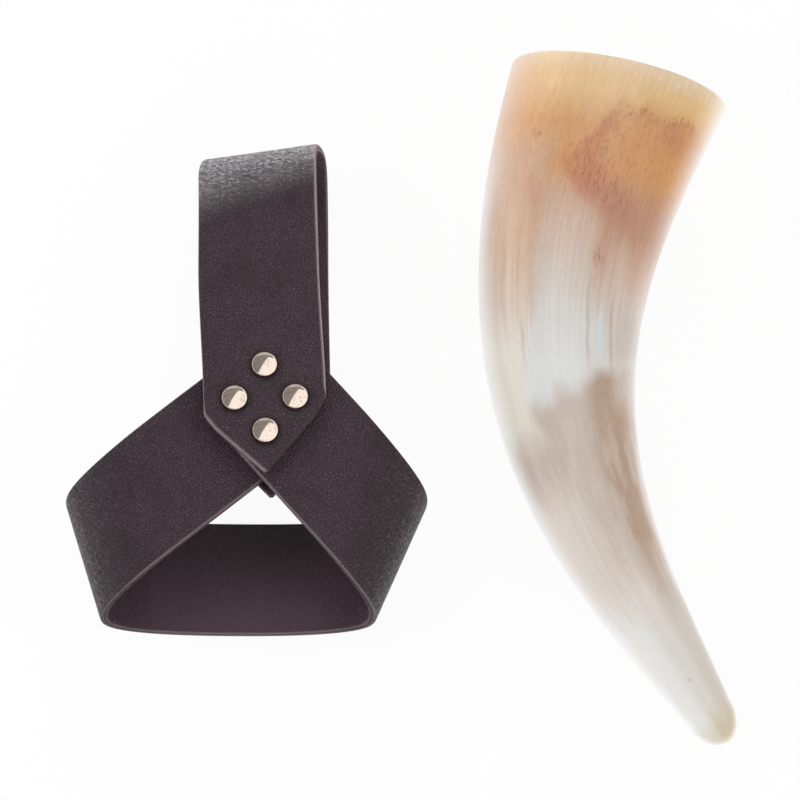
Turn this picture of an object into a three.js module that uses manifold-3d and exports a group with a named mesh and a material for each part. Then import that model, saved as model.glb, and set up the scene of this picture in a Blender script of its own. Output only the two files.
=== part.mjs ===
// A natural drinking horn lying beside its riveted leather belt holder.
// Millimetres, +Z up. The origin is the middle of the footprint, on the table that the set lies on.
// Seen from above, +X is right and +Y is up: the holder is on the left and the horn on the right.

import * as THREE from 'three';
import { mergeVertices } from 'three/addons/utils/BufferGeometryUtils.js';
import Module from 'manifold-3d';

// Horn: outside
const hornLength = 219.5; // along its middle line, mouth to tip
const mouthWidth = 69.2; // outside, from side to side
const tipWidth = 15.5; // where the rounded tip begins
const tipLength = 10.4; // length of the rounded tip
const hornBelly = 0.9; // how much the middle swells past a straight taper, on the radius
const sectionFlatness = 0.94; // height of a section over its width
const mouthHeading = -21.2; // degrees from -Y, to the right, where the middle line leaves the mouth
const hornTurn = 53.9; // degrees that the middle line turns on its way to the tip
const turnLength = 194; // length over which it turns
const rimPlanTurn = 8.5; // degrees that the mouth's cut is off square, seen from above
const rimPitch = 2.7; // degrees that the mouth's cut is off square, seen from the side
const rimBlendLength = 112; // length over which the sections go from the cut to square

// Horn: hollow
const mouthWall = 3;
const innerWall = 6.5; // wall where the hollow's rounded end begins
const hollowLength = 148;
const hollowEndLength = 24; // length of the hollow's rounded end
const rimRounding = 0.9;

// Leather and its stack at the rivets
const leather = 2.8;
const layerGap = 0.25;

// Belt strap: one strip folded over at the top, with pointed ends
const beltWidth = 38;
const beltLength = 231.8; // flat, from point to point
const beltPointFlat = 1; // blunt width of the points
const frontPointLeft = 17.4; // length of the front point on its left side
const frontPointRight = 22.2;
const backPointLength = 20;
const pointShoulderRounding = 3;
const frontOverhang = 24; // from the middle of the rivets to the front point
const backOverhang = 29;
const stackReach = 27; // how far up from the rivets the layers stay flat
const foldRadiusLeft = 9; // half the depth of the loop at the fold, on the leather's middle
const foldRadiusRight = 6.6;
const foldRiseLeft = -1.5; // how far the front of the fold stands above the rivets' plane
const foldRiseRight = 2.5;
const loopRoll = 8; // degrees that the loop leans, its back to the right of its front
const frontBow = 1.45; // how far the front half moves to the left, above the rivets
const frontBowStart = -5; // where it starts to, up from the middle of the rivets
const frontBowEnd = 45;
const beltTurn = 6.2; // degrees that the belt strap is turned against the ring
const beltLeftOffset = 1.5; // of the rivets' middle from the crossing, to the left
const beltDownOffset = 1.4; // and towards the front point

// Ring strap: one strip on a flattened cone, its ends crossed under the belt strap's front point
const ringWidth = 38;
const ringDrop = 128.7; // from the cone's point to the middle of the strip at the back
const coneLength = 180; // where the cone's section is measured from its point
const coneHalfWidth = 66.6;
const coneDepth = 32.4; // between the flat front and the lowest part of the back
const coneSquareness = 2.35; // power of the rounded section: 2 is an ellipse, and more is squarer
const coneFlat = 34; // half width of the flat front, under the belt strap
const coneFlatRounding = 1.2; // height over which the section rounds into the flat
const coneShift = -9.3; // of the section's middle, left of the crossing
const ringEndLength = 16; // past the crossing to the square-cut ends
const ringEndInset = 1.5; // of the trimmed corners, inside the belt strap's edges
const layerRampLength = 90; // length from the middle of the strip over which its ends move to their layers

// Rivets
const rivetSpreadX = 18.8;
const rivetSpreadY = 21.6;
const rivetHead = 8;
const rivetHeadHeight = 2.2;
const rivetHeadEdge = 0.5; // straight height of the head's rim
const rivetSeat = 0.15; // between a head and the leather
const postWidth = 3.2;
const postBore = 1.8;
const postClearance = 0.2; // round the post, in the leather and in the cap
const postEngagement = 1.1; // of the post in the cap

// Lay-out on the table
const holderTurn = -4.7; // degrees, of the ring's crossing line from +Y
const setGap = 15.6; // clear distance between the holder and the horn, along X
const mouthAbove = 99.5; // of the mouth's middle over the rivets' middle, along Y

// Mesh steps
const hornSides = 32;
const axisSteps = 60;
const outerSteps = 20;
const innerSteps = 12;
const roundSteps = 5;
const rimSteps = 3;
const coneSteps = 720;
const ringSteps = 84;
const beltSteps = 108;
const beltColumns = 2;
const headSides = 20;
const postSides = 16;
const pathDivisions = 800; // for measuring along the belt strap's edges

const degrees = THREE.MathUtils.degToRad;
const { clamp, lerp, smoothstep } = THREE.MathUtils;
const upward = new THREE.Vector3(0, 0, 1);
const quarterTurn = Math.PI / 2;

const wasm = await Module();
wasm.setup();

const hornMaterial = new THREE.MeshStandardMaterial({ color: 0xd9c2a3, roughness: 0.3, metalness: 0 });
const leatherMaterial = new THREE.MeshStandardMaterial({ color: 0x42363a, roughness: 0.6, metalness: 0 });
const rivetMaterial = new THREE.MeshStandardMaterial({ color: 0xc9b8a6, roughness: 0.2, metalness: 1 });

function toSolid(geometry) {
  const bare = geometry.clone();
  bare.deleteAttribute('normal');
  bare.deleteAttribute('uv');
  const merged = mergeVertices(bare);
  return new wasm.Manifold(new wasm.Mesh({
    numProp: 3,
    vertProperties: new Float32Array(merged.attributes.position.array),
    triVerts: new Uint32Array(merged.index.array),
  }));
}

function toGeometry(solid) {
  const mesh = solid.getMesh();
  const geometry = new THREE.BufferGeometry();
  geometry.setAttribute('position', new THREE.BufferAttribute(new Float32Array(mesh.vertProperties), 3));
  geometry.setIndex(new THREE.BufferAttribute(new Uint32Array(mesh.triVerts), 1));
  geometry.computeVertexNormals();
  return geometry;
}

function named(name, geometry, material) {
  const mesh = new THREE.Mesh(geometry, material);
  mesh.name = name;
  return mesh;
}

function evenly(from, to, steps) {
  return Array.from({ length: steps + 1 }, (_, i) => lerp(from, to, i / steps));
}

// Every vertex of a geometry goes to the place that the function gives for it.
function reshape(geometry, place) {
  const position = geometry.attributes.position;
  const point = new THREE.Vector3();
  for (let i = 0; i < position.count; i += 1) {
    point.fromBufferAttribute(position, i);
    const moved = place(point);
    position.setXYZ(i, moved.x, moved.y, moved.z);
  }
  geometry.computeVertexNormals();
  return geometry;
}

// Outside radius of the horn at a distance along its middle line, without the rounded tip.
function taperRadius(along) {
  const t = along / (hornLength - tipLength);
  return lerp(mouthWidth / 2, tipWidth / 2, t) + hornBelly * 4 * t * (1 - t);
}

// Radius of the hollow, without its rounded end.
function hollowRadius(along) {
  return taperRadius(along) - lerp(mouthWall, innerWall, along / (hollowLength - hollowEndLength));
}

// Half of the horn's section, as a turned profile: from the tip up the outside and down into the hollow.
function hornProfile() {
  const quarter = (steps) => evenly(0, quarterTurn, steps);
  const capStart = hornLength - tipLength;
  const tip = quarter(roundSteps).map((a) => {
    const along = capStart + tipLength * Math.cos(a);
    return new THREE.Vector2(taperRadius(capStart) * Math.sin(a), along);
  });
  tip[0].x = 0;
  const outside = evenly(capStart, rimRounding, outerSteps).slice(1)
    .map((along) => new THREE.Vector2(taperRadius(along), along));
  const outerEdge = quarter(rimSteps).slice(1).map((a) => new THREE.Vector2(
    taperRadius(rimRounding) - rimRounding * (1 - Math.cos(a)),
    rimRounding * (1 - Math.sin(a)),
  ));
  const innerEdge = quarter(rimSteps).slice(0, -1).map((a) => new THREE.Vector2(
    hollowRadius(rimRounding) + rimRounding * (1 - Math.sin(a)),
    rimRounding * (1 - Math.cos(a)),
  ));
  const hollowCap = hollowLength - hollowEndLength;
  const inside = evenly(rimRounding, hollowCap, innerSteps)
    .map((along) => new THREE.Vector2(hollowRadius(along), along));
  const hollowEnd = quarter(roundSteps).slice(1).map((a) => {
    const along = hollowCap + hollowEndLength * Math.sin(a);
    return new THREE.Vector2(hollowRadius(hollowCap) * Math.cos(a), along);
  });
  hollowEnd[hollowEnd.length - 1].x = 0;
  return [...tip, ...outside, ...outerEdge, ...innerEdge, ...inside, ...hollowEnd];
}

function hornHeading(along) {
  return degrees(mouthHeading + hornTurn * smoothstep(along, 0, turnLength));
}

// The horn's middle line: it turns in plan, and sinks as the horn gets thinner, so that it lies on its side.
function hornAxis() {
  const step = hornLength / axisSteps;
  const place = new THREE.Vector2();
  const points = [];
  for (let i = 0; i <= axisSteps; i += 1) {
    const along = i * step;
    points.push(new THREE.Vector3(place.x, place.y, taperRadius(along) * sectionFlatness));
    const heading = hornHeading(along + step / 2);
    place.add(new THREE.Vector2(Math.sin(heading), -Math.cos(heading)).multiplyScalar(step));
  }
  return new THREE.CatmullRomCurve3(points);
}

function makeHorn() {
  const axis = hornAxis();
  const rimHeading = degrees(mouthHeading + rimPlanTurn);
  const rimNormal = new THREE.Vector3(Math.sin(rimHeading), -Math.cos(rimHeading), 0);
  const mouthSlope = Math.asin(axis.getTangent(0).z);
  rimNormal.multiplyScalar(Math.cos(mouthSlope + degrees(rimPitch)));
  rimNormal.z = Math.sin(mouthSlope + degrees(rimPitch));
  const bent = reshape(new THREE.LatheGeometry(hornProfile(), hornSides), (point) => {
    const t = clamp(point.y / hornLength, 0, 1);
    const centre = axis.getPoint(t);
    const square = smoothstep(point.y, 0, rimBlendLength);
    const normal = rimNormal.clone().lerp(axis.getTangent(t), square).normalize();
    const side = upward.clone().cross(normal).normalize();
    const high = normal.clone().cross(side);
    return centre.addScaledVector(side, point.x).addScaledVector(high, point.z * sectionFlatness);
  });
  return named('horn_body', bent, hornMaterial);
}

// The smaller of two values, rounded where they are close.
function softMin(a, b, rounding) {
  const near = Math.max(rounding - Math.abs(a - b), 0) / rounding;
  return Math.min(a, b) - near * near * rounding / 4;
}

// A power that keeps the sign of its base.
function signedPower(base, power) {
  return Math.sign(base) * Math.abs(base) ** power;
}

// A point of the cone's section: a rounded oval whose front is flattened where the layers are riveted.
function conePoint(turn) {
  const half = coneDepth / 2;
  const flatShare = (1 - (coneFlat / coneHalfWidth) ** coneSquareness) ** (1 / coneSquareness);
  const rise = Math.sin(turn) > 0 ? half / flatShare : half;
  const across = coneShift + coneHalfWidth * signedPower(Math.cos(turn), 2 / coneSquareness);
  const high = half + rise * signedPower(Math.sin(turn), 2 / coneSquareness);
  return new THREE.Vector3(across, coneLength, softMin(high, coneDepth, coneFlatRounding));
}

// The ring's cone: rays from its point, with the angle that they turn through when it is rolled out flat.
// They start at the crossing, in the flat front, and go round by the left.
function coneRays() {
  const start = Math.acos(signedPower(-coneShift / coneHalfWidth, coneSquareness / 2));
  const rays = evenly(start, start + 2 * Math.PI, coneSteps).map((turn) => conePoint(turn).normalize());
  const angles = [0];
  for (let i = 1; i < rays.length; i += 1) {
    angles.push(angles[i - 1] + rays[i].angleTo(rays[i - 1]));
  }
  return { rays, angles, whole: angles[angles.length - 1] };
}

const cone = coneRays();

function coneRay(angle) {
  const wrapped = THREE.MathUtils.euclideanModulo(angle, cone.whole);
  let high = cone.angles.findIndex((a) => a > wrapped);
  if (high < 1) high = cone.angles.length - 1;
  const share = (wrapped - cone.angles[high - 1]) / (cone.angles[high] - cone.angles[high - 1]);
  const ray = cone.rays[high - 1].clone().lerp(cone.rays[high], share).normalize();
  const outward = cone.rays[high - 1].clone().cross(cone.rays[high]).normalize();
  return { ray, outward };
}

// The crossing is where the strip's middle meets itself, at half of the rolled-out angle on both sides.
const halfCone = cone.whole / 2;
const crossingAlong = ringDrop * Math.tan(halfCone);
const crossingDistance = ringDrop / Math.cos(halfCone);
const crossing = new THREE.Vector3(0, coneLength, coneDepth).setLength(crossingDistance);
const stackSlope = Math.atan2(coneDepth, coneLength);
const stackNormal = new THREE.Vector3(0, -Math.sin(stackSlope), Math.cos(stackSlope));
const layerPitch = leather + layerGap;
const frontLayer = layerPitch * 1.5; // of the belt strap's ends from the middle of the ring strap's

// A point of the flat strip, carried onto the cone: along, across, and through the leather from its middle.
function placeOnRing(along, across, through) {
  const reach = ringDrop + across;
  const { ray, outward } = coneRay(Math.atan2(along, reach) + halfCone);
  const layer = layerPitch / 2 * clamp(along / layerRampLength, -1, 1);
  return ray.multiplyScalar(Math.hypot(along, reach)).addScaledVector(outward, layer - through);
}

// A strip of leather from a box. Each station is a line across the flat strip, from one edge to the other,
// and the place function forms the flat strip.
function makeStrip(stations, columns, place) {
  const box = new THREE.BoxGeometry(1, 1, leather, stations.length - 1, columns, 1);
  return reshape(box, (point) => {
    const [low, high] = stations[Math.round((point.x + 0.5) * (stations.length - 1))];
    const spot = low.clone().lerp(high, point.y + 0.5);
    return place(spot.x, spot.y, point.z);
  });
}

function punch(geometry, cutters) {
  return toGeometry(cutters.reduce((solid, cutter) => solid.subtract(cutter), toSolid(geometry)));
}

// Stations lie along the cone's rays until the flat front, where the strip ends square with a trimmed corner.
function makeRingStrap(cutters) {
  const half = ringWidth / 2;
  const end = crossingAlong + ringEndLength;
  const tuck = beltWidth / 2 - ringEndInset;
  const trimStart = crossingAlong + (tuck - half * Math.sin(halfCone)) / Math.cos(halfCone);
  const trimEnd = (ringEndLength * Math.cos(halfCone) - tuck) / Math.sin(halfCone);
  const lastRay = Math.atan2(end, ringDrop + half) - Math.atan2(ringEndLength, ringDrop + half);
  const acrossRay = (angle) => [-half, half].map((across) => new THREE.Vector2(
    (ringDrop + across) * Math.tan(angle),
    across,
  ));
  const lastHigh = acrossRay(lastRay)[1].x;
  const trimmed = (side) => [
    [new THREE.Vector2(side * trimStart, -half), new THREE.Vector2(side * (lastHigh + end) / 2, half)],
    [new THREE.Vector2(side * end, trimEnd), new THREE.Vector2(side * end, half)],
  ];
  const stations = [
    ...trimmed(-1).reverse(),
    ...evenly(-lastRay, lastRay, ringSteps).map(acrossRay),
    ...trimmed(1),
  ];
  return named('ring_strap', punch(makeStrip(stations, 1, placeOnRing), cutters), leatherMaterial);
}

// One edge of the belt strap, seen from its side: up the front, round the fold and down the back.
// Its x runs up from the rivets and its y away from the ring. The fold sits where the strap's length puts it.
function beltEdge(foldRadius, foldRise) {
  const path = (reach) => {
    const top = frontLayer + foldRise;
    const ease = (reach - stackReach) / 2;
    const edge = new THREE.CurvePath();
    const line = (x0, x1, y) => edge.add(new THREE.LineCurve(
      new THREE.Vector2(x0, y),
      new THREE.Vector2(x1, y),
    ));
    const sweep = (x0, y0, x1, y1) => edge.add(new THREE.CubicBezierCurve(
      new THREE.Vector2(x0, y0),
      new THREE.Vector2(x0 + Math.sign(x1 - x0) * ease, y0),
      new THREE.Vector2(x1 - Math.sign(x1 - x0) * ease, y1),
      new THREE.Vector2(x1, y1),
    ));
    line(-frontOverhang, stackReach, frontLayer);
    sweep(stackReach, frontLayer, reach, top);
    const fold = [reach, top - foldRadius, foldRadius, foldRadius];
    edge.add(new THREE.EllipseCurve(...fold, quarterTurn, -quarterTurn, true));
    sweep(reach, top - 2 * foldRadius, stackReach, -frontLayer);
    line(stackReach, -backOverhang, -frontLayer);
    return edge;
  };
  let low = stackReach + foldRadius;
  let high = beltLength;
  while (high - low > 1e-4) {
    const middle = (low + high) / 2;
    if (path(middle).getLength() > beltLength) high = middle;
    else low = middle;
  }
  const edge = path(low);
  edge.arcLengthDivisions = pathDivisions;
  edge.curves.forEach((curve) => {
    curve.arcLengthDivisions = pathDivisions;
  });
  edge.updateArcLengths();
  return edge;
}

const beltLeft = beltEdge(foldRadiusLeft, foldRiseLeft);
const beltRight = beltEdge(foldRadiusRight, foldRiseRight);

// Axes of the stack, from the middle of the rivets: up the belt strap, to its left and out through them.
const stackUp = new THREE.Vector3(0, Math.cos(stackSlope), Math.sin(stackSlope))
  .applyAxisAngle(stackNormal, degrees(beltTurn));
const stackLeft = stackNormal.clone().cross(stackUp);

function fromStack(left, up, out) {
  return crossing.clone().addScaledVector(stackLeft, left + beltLeftOffset)
    .addScaledVector(stackUp, up - beltDownOffset).addScaledVector(stackNormal, out);
}

function beltMiddle(along, across) {
  const share = clamp(along / beltLength, 0, 1);
  const left = beltLeft.getPointAt(share);
  const right = beltRight.getPointAt(share);
  const side = right.lerp(left, across / beltWidth + 0.5);
  const lean = (side.y - frontLayer) * Math.tan(degrees(loopRoll));
  const front = smoothstep(side.y, -frontLayer, frontLayer);
  const bow = frontBow * front * smoothstep(side.x, frontBowStart, frontBowEnd);
  return fromStack(across + lean + bow, side.x, side.y);
}

function placeOnBelt(along, across, through) {
  const probe = 0.05;
  const before = beltMiddle(along - probe, across);
  const forward = beltMiddle(along + probe, across).sub(before);
  const sideways = beltMiddle(along, beltWidth / 2).sub(beltMiddle(along, -beltWidth / 2));
  return beltMiddle(along, across).addScaledVector(forward.cross(sideways).normalize(), through);
}

function makeBeltStrap(cutters) {
  const half = beltWidth / 2;
  const blunt = beltPointFlat / 2;
  const halfAt = (fromEnd, point) => softMin(
    blunt + (half - blunt) * fromEnd / point,
    half + pointShoulderRounding / 4,
    pointShoulderRounding,
  );
  const stations = evenly(0, beltLength, beltSteps).map((along) => {
    const back = Math.min(halfAt(beltLength - along, backPointLength), half);
    const right = Math.min(halfAt(along, frontPointRight), back);
    const left = Math.min(halfAt(along, frontPointLeft), back);
    return [new THREE.Vector2(along, -right), new THREE.Vector2(along, left)];
  });
  return named('belt_strap', punch(makeStrip(stations, beltColumns, placeOnBelt), cutters), leatherMaterial);
}

// Rivets: a domed cap on the front, and a domed base behind it whose hollow post runs through the layers.
const stackHalf = 2 * leather + 1.5 * layerGap + rivetSeat;
const rivetPlaces = {
  top: [0, rivetSpreadY / 2],
  left: [rivetSpreadX / 2, 0],
  right: [-rivetSpreadX / 2, 0],
  bottom: [0, -rivetSpreadY / 2],
};

function domeProfile(base, direction) {
  const radius = rivetHead / 2;
  const rise = rivetHeadHeight - rivetHeadEdge;
  const arc = evenly(0, quarterTurn, roundSteps).map((a) => new THREE.Vector2(
    radius * Math.cos(a),
    base + direction * (rivetHeadEdge + rise * Math.sin(a)),
  ));
  arc[arc.length - 1].x = 0;
  return [new THREE.Vector2(radius, base), ...arc];
}

function capProfile() {
  const socket = postWidth / 2 + postClearance;
  const depth = stackHalf + postEngagement + postClearance;
  return [
    new THREE.Vector2(0, depth),
    new THREE.Vector2(socket, depth),
    new THREE.Vector2(socket, stackHalf),
    ...domeProfile(stackHalf, 1),
  ];
}

function postProfile() {
  const post = postWidth / 2;
  const end = stackHalf + postEngagement;
  return [
    ...domeProfile(-stackHalf, -1).reverse(),
    new THREE.Vector2(post, -stackHalf),
    new THREE.Vector2(post, end),
    new THREE.Vector2(postBore / 2, end),
    new THREE.Vector2(postBore / 2, -stackHalf),
    new THREE.Vector2(0, -stackHalf),
  ];
}

const rivetTurn = new THREE.Quaternion().setFromUnitVectors(new THREE.Vector3(0, 1, 0), stackNormal);

function makeRivet(place, [left, up]) {
  const cap = named(`rivet_cap_${place}`, new THREE.LatheGeometry(capProfile(), headSides), rivetMaterial);
  const post = named(`rivet_post_${place}`, new THREE.LatheGeometry(postProfile(), headSides), rivetMaterial);
  for (const piece of [cap, post]) {
    piece.position.copy(fromStack(left, up, 0));
    piece.quaternion.copy(rivetTurn);
  }
  return [cap, post];
}

function rivetCutter([left, up]) {
  const radius = postWidth / 2 + postClearance;
  const through = 4 * stackHalf;
  const hole = new THREE.CylinderGeometry(radius, radius, through, postSides);
  hole.applyQuaternion(rivetTurn);
  hole.translate(...fromStack(left, up, 0).toArray());
  return toSolid(hole);
}

function lowest(meshes, tilt) {
  const turn = new THREE.Matrix4().makeRotationX(tilt);
  const point = new THREE.Vector3();
  let low = Infinity;
  for (const mesh of meshes) {
    mesh.updateMatrix();
    const position = mesh.geometry.attributes.position;
    for (let i = 0; i < position.count; i += 1) {
      point.fromBufferAttribute(position, i).applyMatrix4(mesh.matrix).applyMatrix4(turn);
      low = Math.min(low, point.z);
    }
  }
  return low;
}

// The holder lies on its ring and on the fold of its belt strap: its tilt puts both on the table.
function layDown(ring, belt) {
  let shallow = -Math.PI / 3;
  let steep = Math.PI / 6;
  while (steep - shallow > 1e-6) {
    const middle = (shallow + steep) / 2;
    if (lowest([belt], middle) > lowest([ring], middle)) steep = middle;
    else shallow = middle;
  }
  return shallow;
}

function makeHolder() {
  const cutters = Object.values(rivetPlaces).map(rivetCutter);
  const ring = makeRingStrap(cutters);
  const belt = makeBeltStrap(cutters);
  const rivets = Object.entries(rivetPlaces).flatMap(([place, spot]) => makeRivet(place, spot));
  const tilt = layDown(ring, belt);
  const tilted = new THREE.Group();
  tilted.add(belt, ring, ...rivets);
  tilted.rotation.x = tilt;
  tilted.position.z = -lowest([ring, belt, ...rivets], tilt);
  const middle = crossing.clone().applyAxisAngle(new THREE.Vector3(1, 0, 0), tilt);
  tilted.position.y = -middle.y;
  const holder = new THREE.Group();
  holder.add(tilted);
  holder.rotation.z = degrees(holderTurn);
  return holder;
}

function boxOf(object) {
  object.updateMatrixWorld(true);
  return new THREE.Box3().setFromObject(object, true);
}

// The horn goes to the right of the holder, and the pair is centred on the origin.
function makeSet() {
  const holder = makeHolder();
  const horn = makeHorn();
  const hornBox = boxOf(horn);
  horn.position.set(boxOf(holder).max.x + setGap - hornBox.min.x, mouthAbove, -hornBox.min.z);
  const set = new THREE.Group();
  set.add(holder, horn);
  const box = boxOf(set);
  const middle = box.getCenter(new THREE.Vector3());
  set.position.set(-middle.x, -middle.y, -box.min.z);
  return set;
}

export default makeSet();
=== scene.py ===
import math
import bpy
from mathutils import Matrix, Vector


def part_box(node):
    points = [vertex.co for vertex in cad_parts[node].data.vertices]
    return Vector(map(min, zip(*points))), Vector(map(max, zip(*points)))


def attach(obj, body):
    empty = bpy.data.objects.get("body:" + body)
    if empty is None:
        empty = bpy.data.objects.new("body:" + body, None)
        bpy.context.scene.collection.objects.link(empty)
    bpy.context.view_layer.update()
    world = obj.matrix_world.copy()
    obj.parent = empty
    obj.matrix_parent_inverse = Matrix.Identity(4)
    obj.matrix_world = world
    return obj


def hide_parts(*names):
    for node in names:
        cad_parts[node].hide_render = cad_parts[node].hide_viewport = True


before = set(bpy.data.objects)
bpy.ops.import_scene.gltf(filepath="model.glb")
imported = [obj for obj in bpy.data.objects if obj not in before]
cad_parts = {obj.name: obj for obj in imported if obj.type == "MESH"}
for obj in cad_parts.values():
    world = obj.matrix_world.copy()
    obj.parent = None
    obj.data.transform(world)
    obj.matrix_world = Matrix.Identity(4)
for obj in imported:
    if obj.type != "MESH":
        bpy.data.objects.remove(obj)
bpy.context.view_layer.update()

from types import SimpleNamespace

import bpy
import numpy as np

bl_info = {
    "name": "Drinking horn and belt holder",
    "version": (1, 0, 0),
    "blender": (4, 5, 0),
    "location": "View3D > Sidebar > Horn",
    "description": "Builds a polished drinking horn and its riveted leather belt holder on a white table",
    "category": "Add Mesh",
}

MM = 0.001
WHITE = (1, 1, 1, 1)

# Steps of the meshes, and lengths and shares that belong to their details
HORN_SIDES = 160
HORN_ROWS = 250
HOLLOW_ROWS = 90
ROUND_ROWS = 20
RIM_ROWS = 6
LINE_STEPS = 4000
CONE_STEPS = 2880
STRAP_COLUMNS = 52
WALL_ROWS = 6
RIVET_SIDES = 72
DOME_ROWS = 24
ROLL_ROWS = 14
TRIM_ROWS = 14
PATH_STEPS = 399
SWEEP_SIDES = 96
SWEEP_ROWS = 16
ROW_SPACING = 0.4 * MM
PROBE = 0.05 * MM
CLOSE_ENOUGH = 1e-7  # metres, for the loop's length
FULL_BEND = 7 * MM  # radius of a bend that counts as a full one
BEND_ROWS = 9  # rows over which a bend is averaged
BEND_SPREAD = 62  # rows on each side of a bend that still show its creases
WRINKLE_GAIN = 1.6  # so that a slighter bend is fully wrinkled
PALE_SHEEN_START = 0.15  # bend at which the painted sheen and the paler stretched grain begin
PALE_SHEEN_RANGE = 0.75
FLESH_BARE = 0.4  # share of bare fibres at the edges of the flesh side
FLESH_REACH = 0.3 * MM
RIM_REACH = 1.1  # reach of the sawn edge's colour over the rim's rounding
FRONT_FADE = 12 * MM  # over the fold, where the front half's bare edges end
POINT_FADE = 6 * MM
ARM_START = 38 * MM  # from the ring's lowest point, where its bare edges widen
ARM_FADE = 20 * MM
END_FADE = 20 * MM  # from a strap's ends, where nothing bends
SIDE_SHIFT = 30 * MM  # apart from the middle, where each face of a strap takes its grain from
WAVE_START = 8 * MM  # from the mouth, where the growth waves begin
WAVE_RAMP = 20 * MM
WAVE_END = 14 * MM  # from the tip, where they fade out
EDGE_STEPS = np.array([0, 0.06, 0.16, 0.3, 0.48, 0.7, 1.0]) * MM

RIVET_PLACES = ("top", "left", "right", "bottom")

# The horn's noises: scale round it, scale along it, detail and roughness
HORN_NOISES = {
    "threads": (80, 0.07, 3.0, 0.5),
    "fibres": (24, 0.02, 2.0, 0.5),
    "strips": (9, 0.008, 1.0, 0.5),
    "clouds": (3, 0.06, 2.0, 0.5),
    "patches": (5, 0.07, 3.0, 0.5),
    "grains": (95, 0.8, 2.0, 0.65),
    "streaks": (30, 0.14, 3.0, 0.65),
    "blotches": (9, 0.22, 3.0, 0.6),
    "flecks": (42, 0.42, 3.0, 0.6),
}
# Its colours on the left, in the middle and on the right: at one place or from one to another, in millimetres
HORN_ZONES = (
    {
        "amber": (0, 10), "honey": (22,), "wheat": (34, 62), "petal": (76,), "cream": (88, 105),
        "greige": (119, 123), "shell": (136, 160), "pearl": (176, 210), "straw": (219,),
    },
    {
        "amber": (0, 10), "honey": (22, 36), "blush": (44,), "petal": (60,), "milk": (78,),
        "snow": (92, 97.5), "greige": (105, 150), "shell": (168,), "silver": (184, 206), "straw": (214,),
    },
    {
        "amber": (0,), "gold": (8,), "orange": (16, 32), "sienna": (42, 50), "blush": (62,), "petal": (72,),
        "milk": (82, 95), "brown": (103, 150), "pewter": (180, 206), "straw": (214,),
    },
)
# Its spots: from, to and softness across it in half widths, then along it in millimetres
CREAM_STRIPS = (-0.95, -0.42, 0.1, 52, 92, 12)
PETAL_STRIPS = (0.50, 0.90, 0.1, 56, 92, 10)
ICE_STREAK = (0.42, 0.50, 0.03, 78, 93, 5)
SCAR = (-0.13, -0.07, 0.03, 196, 197.2, 0.5)
DARK_LINES = (
    (0.28, 0.31, 0.02, 68, 93, 6),
    (0.59, 0.63, 0.02, 72, 96, 6),
    (-0.53, -0.51, 0.02, 80, 91, 4),
    (-0.74, -0.71, 0.03, 60, 84, 8),
)
SMUDGES = (
    (0.30, 0.38, 0.10, 58.5, 61.5, 4),
    (-0.60, -0.53, 0.08, 25.5, 28, 3),
)
SOFT_PATCHES = {
    (0.55, 0.84, 0.14, 15, 23, 5): 0.65,
    (-0.55, -0.40, 0.10, 40, 50, 6): 0.4,
    (0.28, 0.42, 0.13, 56, 68, 6): 0.45,
}

# Stage: the boxes' and the card's places and sizes in metres, and the table's inner rings as shares of it
SOFT_BOXES = {
    "right_box": ((0.95, -0.30, 0.62), 0.8),
    "left_box": ((-1.0, 0.05, 0.50), 0.7),
    "back_box": ((0.0, 1.1, 0.30), 0.9),
    "front_box": ((0.25, -1.0, 0.55), 0.6),
}
CARD_PLACE = (0.57, -0.04, 1.06)
CARD_SIZE = 2.2
TABLE_RINGS = (0.05, 0.2, 0.5)


def length_of(description, millimetres):
    """A length property, written in millimetres and kept in metres."""
    return bpy.props.FloatProperty(
        description=description, default=millimetres * MM, precision=5, unit="LENGTH", subtype="DISTANCE",
    )


def angle_of(description, degrees):
    """An angle property, written in degrees."""
    return bpy.props.FloatProperty(description=description, default=math.radians(degrees), subtype="ANGLE")


def number_of(description, value):
    """A plain number."""
    return bpy.props.FloatProperty(description=description, default=value, precision=4)


def colour_of(description, *screen):
    """A colour property, written as it looks on a screen from 0 to 255 and kept as linear light."""
    shares = [value / 255 for value in screen]
    linear = [s / 12.92 if s <= 0.04045 else ((s + 0.055) / 1.055) ** 2.4 for s in shares]
    return bpy.props.FloatVectorProperty(
        description=description, default=linear, size=3, min=0, max=1, subtype="COLOR",
    )


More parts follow.
